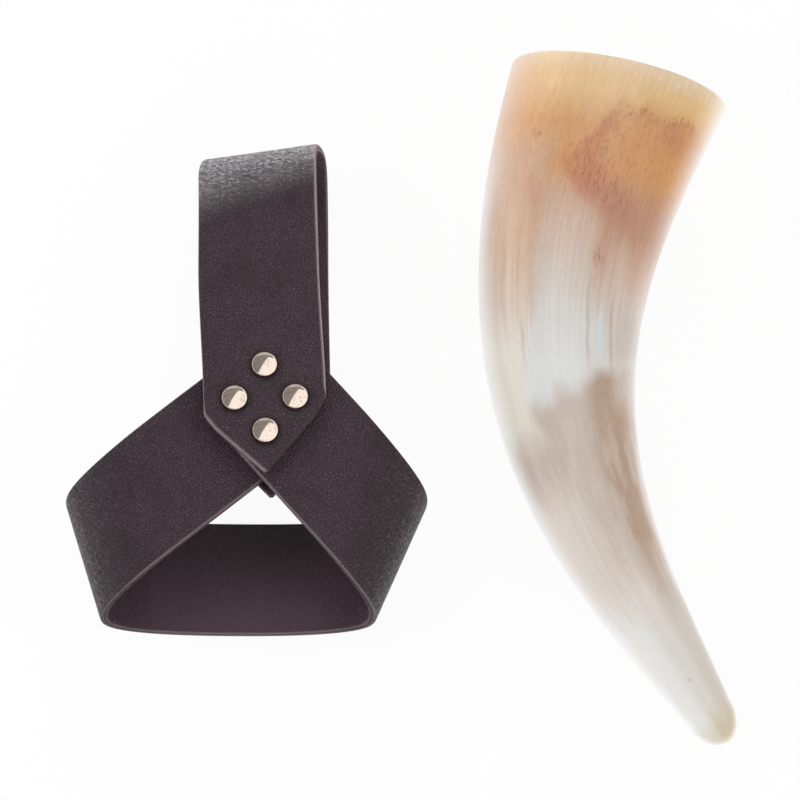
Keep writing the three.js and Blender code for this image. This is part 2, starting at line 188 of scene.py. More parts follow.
class HornSettings(bpy.types.PropertyGroup):
    """Sizes and colours of the horn"""

    length: length_of("Along the middle line, from mouth to tip", 219.5)
    mouth_width: length_of("Outside, from side to side", 69.2)
    tip_width: length_of("Where the rounded tip begins", 15.5)
    tip_length: length_of("Length of the rounded tip", 10.4)
    belly: length_of("Swelling past a straight taper, on the radius", 0.9)
    flatness: number_of("Height of a section over its width", 0.94)
    mouth_heading: angle_of("Of the middle line at the mouth, from -Y to the right", -21.2)
    turn: angle_of("Of the middle line, from mouth to tip", 53.9)
    turn_length: length_of("Length over which the middle line turns", 194)
    rim_plan_turn: angle_of("Of the mouth's cut off square, from above", 8.5)
    rim_pitch: angle_of("Of the mouth's cut off square, from the side", 2.7)
    rim_blend: length_of("Length from the cut to square sections", 112)
    mouth_wall: length_of("Wall at the mouth", 3)
    inner_wall: length_of("Wall where the hollow's rounded end begins", 6.5)
    hollow_length: length_of("Depth of the hollow", 148)
    hollow_end: length_of("Length of the hollow's rounded end", 24)
    rim_rounding: length_of("Radius of the rim's edges", 0.9)
    polish_depth: length_of("How far the polished skin lies inside the sawn size", 0.15)
    wave_depth: length_of("Depth of the growth waves", 0.16)
    ivory: colour_of("Next to the sawn edge", 238, 218, 192)
    amber: colour_of("Round the mouth", 230, 194, 147)
    gold: colour_of("Right of the mouth", 229, 188, 126)
    honey: colour_of("Below the mouth", 213, 161, 113)
    orange: colour_of("Below the mouth on the right", 212, 149, 84)
    sienna: colour_of("Over the white part on the right", 191, 142, 112)
    wheat: colour_of("Strips left of the white part", 204, 167, 138)
    blush: colour_of("Over the white part", 205, 170, 148)
    petal: colour_of("Where the white part begins", 210, 191, 177)
    milk: colour_of("White part", 217, 213, 208)
    snow: colour_of("Lower end of the white part", 224, 224, 223)
    ice: colour_of("Cool streak in the white part", 212, 217, 219)
    cream: colour_of("Left of the white part", 226, 219, 207)
    greige: colour_of("Below the white part", 201, 185, 173)
    brown: colour_of("Stripe along the inner curve", 179, 150, 127)
    shell: colour_of("Lower part on the left", 223, 212, 203)
    pearl: colour_of("Tip on the left", 235, 233, 229)
    silver: colour_of("Tip in the middle", 219, 214, 207)
    pewter: colour_of("Tip on the right", 210, 202, 191)
    straw: colour_of("Spot on the tip", 211, 195, 167)
    rust: colour_of("Grains of the marks under the mouth", 160, 88, 52)
    mauve: colour_of("Soft patches under the mouth", 184, 117, 88)
    inside: colour_of("Wall of the hollow", 196, 152, 104)
    rim: colour_of("Sawn edge of the mouth", 205, 186, 166)


class HolderSettings(bpy.types.PropertyGroup):
    """Sizes and colours of the two straps"""

    leather: length_of("Thickness of the straps", 2.8)
    layer_gap: length_of("Clearance between two layers", 0.25)
    skin_inset: length_of("Of each face, for the space between the layers", 0.06)
    belt_width: length_of("Width of the folded strap", 38)
    belt_length: length_of("Flat, from point to point", 231.8)
    point_flat: length_of("Blunt width of the points", 1)
    front_point_left: length_of("Length of the front point on its left", 17.4)
    front_point_right: length_of("Length of the front point on its right", 22.2)
    back_point: length_of("Length of the back point", 20)
    shoulder_rounding: length_of("Rounding of the points' shoulders", 7.5)
    front_overhang: length_of("From the rivets' middle to the front point", 24)
    back_overhang: length_of("From the rivets' middle to the back point", 29)
    stack_reach: length_of("Up from the rivets, where the layers stay flat", 27)
    fold_radius_left: length_of("Half the loop's depth on the left", 9)
    fold_radius_right: length_of("Half the loop's depth on the right", 6.6)
    fold_rise_left: length_of("Of the fold's front over the rivets' plane", -1.5)
    fold_rise_right: length_of("Of the fold's front over the rivets' plane", 2.5)
    loop_roll: angle_of("Lean of the loop, its back to the right", 8)
    front_bow: length_of("How far the front half moves to the left, above the rivets", 1.45)
    front_bow_start: length_of("Up from the middle of the rivets", -5)
    front_bow_end: length_of("Up from the middle of the rivets", 45)
    belt_turn: angle_of("Against the ring strap", 6.2)
    belt_left_offset: length_of("Of the rivets from the crossing", 1.5)
    belt_down_offset: length_of("Of the rivets from the crossing", 1.4)
    ring_width: length_of("Width of the ring strap", 38)
    ring_drop: length_of("From the cone's point to the strip's middle", 128.7)
    cone_length: length_of("Where the cone's section is measured", 180)
    cone_half_width: length_of("Of the cone's section", 66.6)
    cone_depth: length_of("Of the cone's section", 32.4)
    cone_squareness: number_of("Power of the rounded section", 2.35)
    cone_flat: length_of("Half width of the flat front", 34)
    cone_flat_rounding: length_of("Height over which the section rounds", 1.2)
    cone_shift: length_of("Of the section's middle from the crossing", -9.3)
    ring_end: length_of("Past the crossing to the square ends", 16)
    ring_end_inset: length_of("Of the trimmed corners", 1.5)
    layer_ramp: length_of("Length over which the ends move to their layers", 90)
    edge_rounding: length_of("Reach of the rounded grain edge", 0.85)
    edge_depth: length_of("Depth of the rounded grain edge", 0.5)
    press_depth: length_of("How far a rivet head pulls the leather in", 0.55)
    press_reach: length_of("Reach of the hollow round a rivet head", 4.9)
    # Reach of the painted shade round a rivet head
    shade_reach: length_of("Of the dark ring round a rivet head", 0.8)
    wrinkle_depth: length_of("Depth of the wrinkles at the bends", 0.07)
    # The fading settings set painted sheen on the bends as well as paler stretched grain; the tails spread
    # the fold's bend, and with it that sheen and the painted shade of its wrinkles
    belt_fading_and_sheen: number_of("How pale the stretched grain of the fold is", 1.0)
    fold_tail_left: number_of("Power of the fold's fading on the left, less for a longer reach", 0.4)
    fold_tail_right: number_of("Power of the fold's fading on the right", 1.0)
    ring_fading_and_sheen: number_of("How pale the stretched grain of the ring's sides is", 0.22)
    hide: colour_of("Grain side of the leather", 45, 30, 37)
    hide_worn: colour_of("Lighter tops of the grain", 86, 68, 78)
    # Dark grain creases, and also the painted shade in the bends' wrinkles, round the rivet heads and across
    # the flesh side
    hide_deep: colour_of("Creases of the grain", 28, 18, 22)
    # Painted sheen on the bends, mixed with the paler stretched grain there
    faded: colour_of("Stretched grain of the bends", 190, 183, 187)
    flesh: colour_of("Inner side of the leather", 78, 58, 68)
    cut: colour_of("Bare fibres of the cut edges", 168, 150, 154)
    cut_line: colour_of("Dark middle of the cut edges", 84, 68, 73)


class RivetSettings(bpy.types.PropertyGroup):
    """Sizes and colours of the double cap rivets"""

    spread_x: length_of("Between the left and right rivets", 18.8)
    spread_y: length_of("Between the top and bottom rivets", 21.6)
    head: length_of("Width of a cap", 8)
    rim_roll: length_of("Radius of the rolled rim", 0.5)
    dome_angle: angle_of("Slope of the dome where it meets the rolled rim", 20)
    seat: length_of("Between a head and the flat leather", 0.15)
    sink: length_of("How far the heads sit in the pressed leather", 0.3)
    post: length_of("Width of the post", 3.2)
    bore: length_of("Bore of the post", 1.8)
    clearance: length_of("Round the post in the cap", 0.2)
    engagement: length_of("Of the post in the cap", 0.9)
    nickel: colour_of("Polished plate", 230, 213, 200)
    tarnish: colour_of("Handled parts of the plate", 196, 174, 152)


class StageSettings(bpy.types.PropertyGroup):
    """Camera, light and table"""

    elevation: angle_of("Of the camera above the table", 77)
    distance: length_of("Of the camera from its target", 1000)
    target_height: length_of("Of the camera's target above the table", 20)
    picture_width: length_of("Width that the picture shows at the target", 250)
    table_radius: length_of("Flat part of the white sweep", 6000)
    sweep_radius: length_of("Of the curve from table to wall", 1000)
    wall_height: length_of("Of the white sweep", 4000)
    table: colour_of("Colour of the white sweep", 250, 250, 250)
    shadow: number_of("How much of the object's shadow the white table keeps", 0.07)
    room: number_of("Light from the room above", 0.3)
    right_box: number_of("Watts of the soft box on the right", 5.0)
    left_box: number_of("Watts of the soft box on the left", 8.0)
    back_box: number_of("Watts of the soft box beyond the horn's mouth", 9.0)
    front_box: number_of("Watts of the soft box on the near side", 3.0)
    card: number_of("Brightness of the white card that the rivets reflect", 1.25)
    card_spin: angle_of("Turn of the card on its own middle", -30)


def math_method(operation, swapped=False):
    """A method of Tone that adds one Math node, with the tone first or, if swapped, last."""

    def method(self, *others):
        values = (*others, self) if swapped else (self, *others)
        return self.finish.tone("ShaderNodeMath", {"operation": operation}, dict(enumerate(values)))

    return method


class Tone:
    """One output of a material's nodes. Sums and products of tones add Math nodes."""

    __add__ = math_method("ADD")
    __radd__ = math_method("ADD", swapped=True)
    __sub__ = math_method("SUBTRACT")
    __rsub__ = math_method("SUBTRACT", swapped=True)
    __mul__ = math_method("MULTIPLY")
    __rmul__ = math_method("MULTIPLY", swapped=True)
    __truediv__ = math_method("DIVIDE")
    __abs__ = math_method("ABSOLUTE")
    largest = math_method("MAXIMUM")

    def __init__(self, finish, socket):
        self.finish = finish
        self.socket = socket

    def over(self, low, high):
        """0 below low, 1 above high and a smooth step between them."""
        return self.finish.tone(
            "ShaderNodeMapRange", {"interpolation_type": "SMOOTHSTEP"},
            {"Value": self, "From Min": low, "From Max": high, "To Min": 0.0, "To Max": 1.0},
        )

    def within(self, low, high, soft):
        """1 between low and high, with soft ends."""
        return self.over(low - soft, low + soft) * (1 - self.over(high - soft, high + soft))


class Finish:
    """The nodes of one material, world or other shader tree."""

    def __init__(self, owner, output):
        owner.use_nodes = True
        self.owner = owner
        self.tree = owner.node_tree
        self.tree.nodes.clear()
        self.output = self.tree.nodes.new(output)

    def add(self, kind, settings, sockets):
        """A node of this type, with its settings and then its sockets' values or links."""
        node = self.tree.nodes.new(kind)
        for name, value in settings.items():
            if name == "stops":
                fill_ramp(node.color_ramp, value)
            else:
                setattr(node, name, value)
        for name, value in sockets.items():
            if isinstance(value, Tone):
                self.tree.links.new(value.socket, node.inputs[name])
            else:
                node.inputs[name].default_value = value
        return node

    def tone(self, kind, settings, sockets, output=0):
        return Tone(self, self.add(kind, settings, sockets).outputs[output])

    def attribute(self, name, output="Fac"):
        return self.tone("ShaderNodeAttribute", {"attribute_name": name}, {}, output)

    def parts(self, vector):
        node = self.add("ShaderNodeSeparateXYZ", {}, {0: vector})
        return [Tone(self, socket) for socket in node.outputs]

    def stretch(self, vector, x, y, z):
        return self.tone("ShaderNodeVectorMath", {"operation": "MULTIPLY"}, {0: vector, 1: (x, y, z)})

    def noise(self, vector, scale=1.0, detail=2.0, roughness=0.5):
        sockets = {"Vector": vector, "Scale": scale, "Detail": detail, "Roughness": roughness}
        return self.tone("ShaderNodeTexNoise", {"noise_dimensions": "3D"}, sockets, "Fac")

    def cells(self, vector, scale):
        """Distance to the nearest border of a net of irregular cells."""
        settings = {"feature": "DISTANCE_TO_EDGE"}
        return self.tone("ShaderNodeTexVoronoi", settings, {"Vector": vector, "Scale": scale}, "Distance")

    def mix(self, share, first, second, way="MIX"):
        """A colour between two colours."""
        settings = {"data_type": "RGBA", "blend_type": way}
        return self.tone("ShaderNodeMix", settings, {0: share, 6: first, 7: second}, 2)

    def layers(self, colour, settings, shares):
        """A colour with colours of the settings over it, as pairs of share and name."""
        for share, name in shares:
            colour = self.mix(share, colour, paint(getattr(settings, name)))
        return colour

    def bump(self, height, strength, distance):
        sockets = {"Height": height, "Strength": strength, "Distance": distance}
        return self.tone("ShaderNodeBump", {}, sockets)

    def surface(self, shader):
        self.tree.links.new(shader.socket, self.output.inputs["Surface"])
        return self.owner


def fill_ramp(ramp, stops):
    """Colour stops of a ramp, as pairs of place and colour."""
    while len(ramp.elements) < len(stops):
        ramp.elements.new(1.0)
    for element, (place, colour) in zip(ramp.elements, stops):
        element.position = place
        element.color = colour


def paint(colour):
    """A colour property as a socket's value."""
    return (*colour, 1.0)


def new_finish(name):
    return Finish(bpy.data.materials.new(name), "ShaderNodeOutputMaterial")


# Shapes shared by the pieces

def smooth(share):
    share = np.clip(share, 0, 1)
    return share * share * (3 - 2 * share)


def soft_min(first, second, rounding):
    """The smaller of two values, rounded where they are close."""
    near = np.maximum(rounding - np.abs(first - second), 0) / rounding
    return np.minimum(first, second) - near * near * rounding / 4


def signed_power(base, power):
    return np.sign(base) * np.abs(base) ** power


def unit(vectors):
    return vectors / np.linalg.norm(vectors, axis=-1, keepdims=True)


def summed(steps):
    """Running sums of the steps, from 0."""
    return np.concatenate([[0], np.cumsum(steps)])


def step_lengths(points):
    return np.linalg.norm(np.diff(points, axis=0), axis=1)


def rows_at(places, marks, rows):
    """Rows at these places, between the rows that belong to the marks."""
    return np.stack([np.interp(places, marks, column) for column in rows.T], axis=-1)


def grid_faces(index):
    """Quads between the rows and columns of a grid of vertex numbers."""
    corners = (index[:-1, :-1], index[1:, :-1], index[1:, 1:], index[:-1, 1:])
    return np.stack([corner.ravel() for corner in corners], axis=1)


def outward(points, faces):
    """The faces turned so that they look out of the closed body that they make."""
    volume = 0.0
    for face in faces:
        corners = points[face]
        for second in range(1, face.shape[1] - 1):
            fan = np.cross(corners[:, second], corners[:, second + 1])
            volume += np.einsum("ij,ij->", corners[:, 0], fan)
    return faces if volume > 0 else [face[:, ::-1] for face in faces]


def make_piece(name, points, faces, finish, values, vectors):
    """A smooth mesh object with named values and vectors on its vertices."""
    quads = [quad for face in outward(points, faces) for quad in face.tolist()]
    piece = put_mesh(name, points.tolist(), quads, finish)
    mesh = piece.data
    for label, value in values.items():
        mesh.attributes.new(label, "FLOAT", "POINT").data.foreach_set("value", np.float32(value).ravel())
    for label, value in vectors.items():
        data = mesh.attributes.new(label, "FLOAT_VECTOR", "POINT").data
        data.foreach_set("vector", np.float32(value).ravel())
    if mesh.validate():
        raise RuntimeError(f"the mesh of {name} has bad faces")
    return piece


def put_mesh(name, points, faces, finish):
    """A new smooth mesh object with one finish."""
    mesh = bpy.data.meshes.new(name)
    mesh.from_pydata(points, [], faces)
    mesh.shade_smooth()
    mesh.materials.append(finish)
    return put_in_scene(name, mesh)


def put_in_scene(name, data):
    """A new object with this mesh, lamp or camera, linked to the scene."""
    placed = bpy.data.objects.new(name, data)
    bpy.context.scene.collection.objects.link(placed)
    return placed


def around_axis(sides):
    return np.arange(sides) * 2 * math.pi / sides


def turned_rows(outline, sides):
    """Vertices of an outline of radius and height turned round the z axis."""
    radius, height = (column[:, None] for column in np.array(outline).T)
    turn = around_axis(sides)
    rows = radius * np.cos(turn), radius * np.sin(turn), np.repeat(height, sides, axis=1)
    return np.stack(rows, axis=-1).reshape(-1, 3)


def turned(outline, sides):
    """Vertices and faces of an outline turned round its axis, from one end on the axis to the other."""
    ends = np.array([[0, 0, outline[0][1]], [0, 0, outline[-1][1]]])
    return np.concatenate([turned_rows(outline[1:-1], sides), ends]), turned_faces(len(outline) - 2, sides)


def closed(index):
    """A grid of vertex numbers with its first column again at the end."""
    return np.concatenate([index, index[:, :1]], axis=1)


def turned_faces(rows, sides):
    """Faces of a body of closed rows whose last two vertices are its poles."""
    index = closed(np.arange(rows * sides).reshape(rows, sides))
    first = np.stack([np.full(sides, rows * sides), index[0, :-1], index[0, 1:]], axis=1)
    last = np.stack([np.full(sides, rows * sides + 1), index[-1, 1:], index[-1, :-1]], axis=1)
    return [grid_faces(index), first, last]


# The horn

def horn_taper(horn, along):
    """Outside radius of the horn, without its rounded tip."""
    share = along / (horn.length - horn.tip_length)
    straight = horn.mouth_width / 2 + (horn.tip_width - horn.mouth_width) / 2 * share
    return straight + horn.belly * 4 * share * (1 - share)


def hollow_taper(horn, along):
    """Radius of the hollow, without its rounded end."""
    share = along / (horn.hollow_length - horn.hollow_end)
    return horn_taper(horn, along) - horn.mouth_wall - (horn.inner_wall - horn.mouth_wall) * share


def quarter(rows):
    """Sines and cosines of a quarter turn, from 0."""
    turn = np.linspace(0, math.pi / 2, rows + 1)
    return np.sin(turn), np.cos(turn)


def horn_profile(horn):
    """Rows of the horn from the tip up the outside and down the hollow: length, radius and hollow mark."""
    cap = horn.length - horn.tip_length
    hollow_cap = horn.hollow_length - horn.hollow_end
    edge = horn.rim_rounding
    out = np.linspace(cap, edge, HORN_ROWS + 1)[1:]
    down = np.linspace(edge, hollow_cap, HOLLOW_ROWS + 1)
    sine, cosine = quarter(ROUND_ROWS)
    tip = cap + horn.tip_length * cosine, horn_taper(horn, cap) * sine
    hollow_tip = hollow_cap + horn.hollow_end * sine[1:], hollow_taper(horn, hollow_cap) * cosine[1:]
    sine, cosine = quarter(RIM_ROWS)
    outer_edge = edge * (1 - sine[1:]), horn_taper(horn, edge) - edge * (1 - cosine[1:])
    inner_edge = edge * (1 - cosine[:-1]), hollow_taper(horn, edge) + edge * (1 - sine[:-1])
    outside = [tip, (out, horn_taper(horn, out)), outer_edge, inner_edge]
    inside = [(down, hollow_taper(horn, down)), hollow_tip]
    along, radius = np.concatenate([np.stack(part) for part in outside + inside], axis=1)
    skin = np.zeros(len(along))
    skin[sum(len(part[0]) for part in outside):] = 1
    return along, radius, skin


def horn_sections(horn, along):
    """Middles of the horn's sections, with the directions to the right and to the top of each."""
    fine = np.linspace(0, horn.length, LINE_STEPS + 1)
    heading = horn.mouth_heading + horn.turn * smooth((fine[1:] + fine[:-1]) / 2 / horn.turn_length)
    step = horn.length / LINE_STEPS
    line = np.stack([
        summed(np.sin(heading) * step),
        -summed(np.cos(heading) * step),
        horn_taper(horn, fine) * horn.flatness,
    ], axis=1)
    tangent = unit(np.gradient(line, axis=0))
    rim_heading = horn.mouth_heading + horn.rim_plan_turn
    rim_slope = math.asin(tangent[0, 2]) + horn.rim_pitch
    rim = np.array([
        math.sin(rim_heading) * math.cos(rim_slope),
        -math.cos(rim_heading) * math.cos(rim_slope),
        math.sin(rim_slope),
    ])
    square = smooth(fine / horn.rim_blend)[:, None]
    normal = unit(rim * (1 - square) + tangent * square)
    right = unit(np.cross([0, 0, 1], normal))
    high = np.cross(normal, right)
    return [rows_at(along, fine, rows) for rows in (line, right, high)]


def horn_waves(along, around):
    """Growth waves from 0 to 1: low rings that wander as they go round the horn."""
    wander = 6 * np.sin(around + 0.6) + 3.5 * np.sin(2 * around + 2.1)
    rings = np.sin((along / MM + wander) / 2.9) + 0.7 * np.sin((along / MM - 1.4 * wander) / 1.7 + 1.2)
    flats = np.sin(7 * around + along / MM / 31) + 0.6 * np.sin(11 * around - along / MM / 23)
    return np.clip(0.5 + 0.14 * rings + 0.12 * flats, 0, 1)


def horn_points(horn, along, radius, around):
    middle, right, high = horn_sections(horn, along)
    across = (radius * np.sin(around))[..., None]
    over = (radius * np.cos(around) * horn.flatness)[..., None]
    return middle[:, None] + right[:, None] * across + high[:, None] * over


def build_horn(horn):
    along, radius, skin = horn_profile(horn)
    turns = np.tile(around_axis(HORN_SIDES), (len(along), 1))
    sawn = horn_points(horn, along, radius[:, None] * np.ones(HORN_SIDES), turns)
    low, high = (np.array(corner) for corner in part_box("horn_body"))
    flat = sawn.reshape(-1, 3)
    shift = (low + high - flat.min(axis=0) - flat.max(axis=0)) / 2

    rounded = along < horn.rim_rounding
    wall = radius[rounded].min(), radius[rounded].max()
    side = np.where(skin > 0, -1.0, 1.0)
    side[rounded] = np.interp(radius[rounded], wall, (-1, 1))
    waves = smooth((along - WAVE_START) / WAVE_RAMP) * smooth((horn.length - along) / WAVE_END)
    depth = horn.polish_depth + horn.wave_depth * waves[:, None] * horn_waves(along[:, None], turns)
    worked = np.maximum(radius[:, None] - side[:, None] * depth, 0)
    points = horn_points(horn, np.maximum(along, horn.polish_depth), worked, turns) + shift
    lengths = np.repeat(along[:, None] / MM, HORN_SIDES, axis=1)
    place = np.stack([np.sin(turns), np.cos(turns), lengths], axis=-1)
    rim = smooth(1 - along / (RIM_REACH * horn.rim_rounding))

    # The first and last rows have no width, so each becomes one pole.
    poles = points[[0, -1]].mean(axis=1)
    points = np.concatenate([points[1:-1].reshape(-1, 3), poles])
    ends = np.array([[0, 1, along[0] / MM], [0, 1, along[-1] / MM]])
    place = np.concatenate([place[1:-1].reshape(-1, 3), ends])
    values = {
        name: np.concatenate([np.repeat(row[1:-1], HORN_SIDES), row[[0, -1]]])
        for name, row in (("hollow", skin), ("rim", rim))
    }
    faces = turned_faces(len(along) - 2, HORN_SIDES)
    return make_piece("polished_horn", points, faces, polished_horn(horn), values, {"horn_place": place})


def spot(across, along, low, high, soft, start, end, fade):
    """1 on a patch of the horn, with soft borders."""
    return across.within(low, high, soft) * along.within(start, end, fade)


def horn_skin(f):
    """The places and noises that the horn's colours are made of."""
    place = f.attribute("horn_place", "Vector")
    skin = SimpleNamespace(hollow=f.attribute("hollow"), rim=f.attribute("rim"))
    skin.across, skin.top, skin.along = f.parts(place)
    for name, (scale, scale_along, detail, roughness) in HORN_NOISES.items():
        stretched = f.stretch(place, scale, scale, scale_along)
        setattr(skin, name, f.noise(stretched, 1.0, detail, roughness))
    skin.upper = skin.top.over(-0.25, 0.15)
    skin.rightward = skin.across.over(-0.3, 0.3)
    skin.streaked = skin.along.within(50, 84, 14)
    return skin


def horn_ground(f, horn, skin):
    """The horn's colours without its marks: zones from mouth to tip, with strips and lines over them."""
    across, along = skin.across, skin.along
    side = across + (skin.clouds - 0.5) * 0.14 + (skin.threads - 0.5) * 0.06
    ragged = (skin.fibres - 0.5) * 14 + (skin.threads - 0.5) * 5
    below_white = side * 8 + (skin.clouds - 0.5) * 14 + (skin.patches - 0.5) * 4
    down = along + ragged * (0.25 + 0.75 * skin.streaked) + below_white * along.within(95, 111, 7)
    length = horn.length / MM

    def ramp(zones):
        stops = [
            (mark / length, paint(getattr(horn, tint)))
            for tint, marks in zones.items()
            for mark in marks
        ]
        return f.tone("ShaderNodeValToRGB", {"stops": stops}, {0: down / length})

    left, middle, right = (ramp(zones) for zones in HORN_ZONES)
    shifted = side + down.within(86, 110, 12) * 0.22
    colour = f.mix(shifted.over(-0.46, -0.28 + along.over(108, 124) * 0.24), left, middle)
    colour = f.mix(side.over(0.10, 0.44), colour, right)
    lines = sum(spot(side, down, *line) for line in DARK_LINES)
    lower = along.within(112, 176, 10)
    return f.layers(colour, horn, (
        ((1 - along.over(1, 7)) * 0.5, "ivory"),
        ((1 - across.over(-1.0, -0.6)) * (1 - along.over(14, 34)) * 0.7, "blush"),
        (skin.strips.over(0.45, 0.63) * spot(side, down, *CREAM_STRIPS) * 0.25, "cream"),
        (skin.strips.over(0.50, 0.60) * spot(side, down, *PETAL_STRIPS) * 0.4, "petal"),
        (spot(side, down, *ICE_STREAK) * 0.8, "ice"),
        (lines * 0.5, "brown"),
        (skin.patches.over(0.45, 0.65) * lower * 0.3, "shell"),
        ((1 - skin.fibres.over(0.34, 0.50)) * lower * 0.1, "brown"),
        (side.over(0.56, 0.72) * along.within(93, 108, 6) * 0.5, "shell"),
        (across.over(0.55, 0.8) * along.within(76, 93, 6) * 0.4, "brown"),
        ((1 - across.over(-0.85, -0.5)) * along.within(6, 17, 4) * 0.35, "honey"),
    ))


def horn_marks(f, horn, skin, colour):
    """The colour with soft patches and rust grains under the mouth, and with the rim and the hollow."""
    along, upper, blotches, flecks = skin.along, skin.upper, skin.blotches, skin.flecks
    down = along + (flecks - 0.5) * 7 + (skin.clouds - 0.5) * 6 + (blotches - 0.5) * 6
    side = skin.across + (skin.clouds - 0.5) * 0.12 + (blotches - 0.5) * 0.16 + (skin.grains - 0.5) * 0.03
    streak = 0.11 - 0.15 * along.over(16, 34)
    from_streak = abs(side - streak) / (0.11 + down.over(24, 32) * 0.26)
    wedge = (1 - from_streak.over(0.0, 1.4)) * down.within(12, 37, 8) * 0.8
    from_band = abs(down - 38.5 - 12 * side) / 8
    band = (1 - from_band.over(0.0, 1.4)) * side.within(-0.12, 0.66, 0.16)
    soft = wedge * (0.6 + 0.5 * blotches) + band * (0.5 + 0.5 * blotches)
    soft = sum((spot(side, down, *patch) * share for patch, share in SOFT_PATCHES.items()), soft)
    underside = skin.clouds.over(0.50, 0.70) * down.within(14, 52, 8) * (1 - upper)
    soft = soft * upper + underside * 0.6

    arc = side.within(0.20, 0.84, 0.08) * (down + 3 * side).within(14.8, 17.6, 2.2)
    arc = arc * (1 - side.within(0.46, 0.54, 0.05) * 0.7)
    marks = arc + sum(spot(skin.across, along, *smudge) for smudge in SMUDGES) * 1.8
    specks = (flecks * 0.6 + skin.grains * 0.4).over(0.44, 0.60)
    rusty = marks * upper * (0.35 + 0.65 * specks) + soft * specks * 0.6
    freckles = flecks.over(0.45, 0.75) * along.within(14, 46, 8) * upper
    return f.layers(colour, horn, (
        ((soft * (0.4 + 0.6 * blotches + 0.6 * flecks)).over(0.0, 1.1) * 0.8, "mauve"),
        (rusty.over(0.05, 1.1) * 0.8, "rust"),
        (spot(side, along, *SCAR) * upper * 0.4, "brown"),
        (skin.rim * 0.7, "rim"),
        (skin.hollow * 0.85, "inside"),
        (freckles * (0.32 + 0.16 * skin.rightward), "rust"),
    ))


def horn_light(skin):
    """How light the horn's fibres and flecks are, round about 1."""
    amber_part = 1 - skin.along.over(50, 70)
    lively = 0.55 + 0.45 * skin.streaked - 0.3 * skin.along.over(108, 116)
    light = 1 + (skin.threads - 0.5) * 0.15 * lively + (skin.fibres - 0.5) * 0.13 * lively
    light = light + (skin.grains - 0.5) * 0.07 + (skin.streaks - 0.5) * (0.06 + 0.24 * amber_part)
    return light + (skin.flecks - 0.5) * (0.14 + 0.10 * amber_part)


def horn_sheen(f, skin):
    """Share of the white gloss, which makes the horn's sides pale."""
    along, rightward = skin.along, skin.rightward
    facing = f.tone("ShaderNodeLayerWeight", {}, {"Blend": 0.5}, "Facing")
    sheen = facing.over(0.16 + 0.16 * rightward, 0.88 + 0.08 * rightward) * 0.75 * (1 - skin.hollow)
    dull = along.within(172, 210, 8) * rightward * 0.75 + (1 - along.over(20, 50)) * (1 - rightward) * 0.75
    dull = dull + (along.within(26, 128, 14) * 0.3 + along.within(45, 95, 10) * 0.25) * rightward
    return sheen * (1 - dull)


def polished_horn(horn):
    """Polished keratin: amber at the mouth, white in the middle, with marks, fibres and pale sides."""
    f = new_finish("polished horn")
    skin = horn_skin(f)
    colour = horn_marks(f, horn, skin, horn_ground(f, horn, skin))
    light = horn_light(skin)
    veil = f.tone("ShaderNodeCombineColor", {}, {0: light, 1: light, 2: light})
    body = f.tone("ShaderNodeBsdfPrincipled", {}, {
        "Base Color": f.mix(1.0, colour, veil, "MULTIPLY"),
        "Roughness": 0.26 + 0.10 * skin.threads + 0.25 * skin.hollow + 0.2 * skin.rim,
        "Coat Weight": 0.2 - 0.2 * skin.hollow,
        "Coat Roughness": 0.15,
        "IOR": 1.5,
        "Normal": f.bump(skin.threads * 0.5 + skin.fibres * 0.5 + skin.grains * 0.2, 0.25, 0.0001),
    })
    gloss = f.tone("ShaderNodeBsdfAnisotropic", {}, {"Color": WHITE, "Roughness": 0.45})
    return f.surface(f.tone("ShaderNodeMixShader", {}, {0: horn_sheen(f, skin), 1: body, 2: gloss}))


# The holder

def node_middle(node):
    """Middle of a CAD node's corners."""
    corners = np.array([vertex.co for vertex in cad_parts[node].data.vertices])
    return np.unique(corners.round(7), axis=0).mean(axis=0), corners


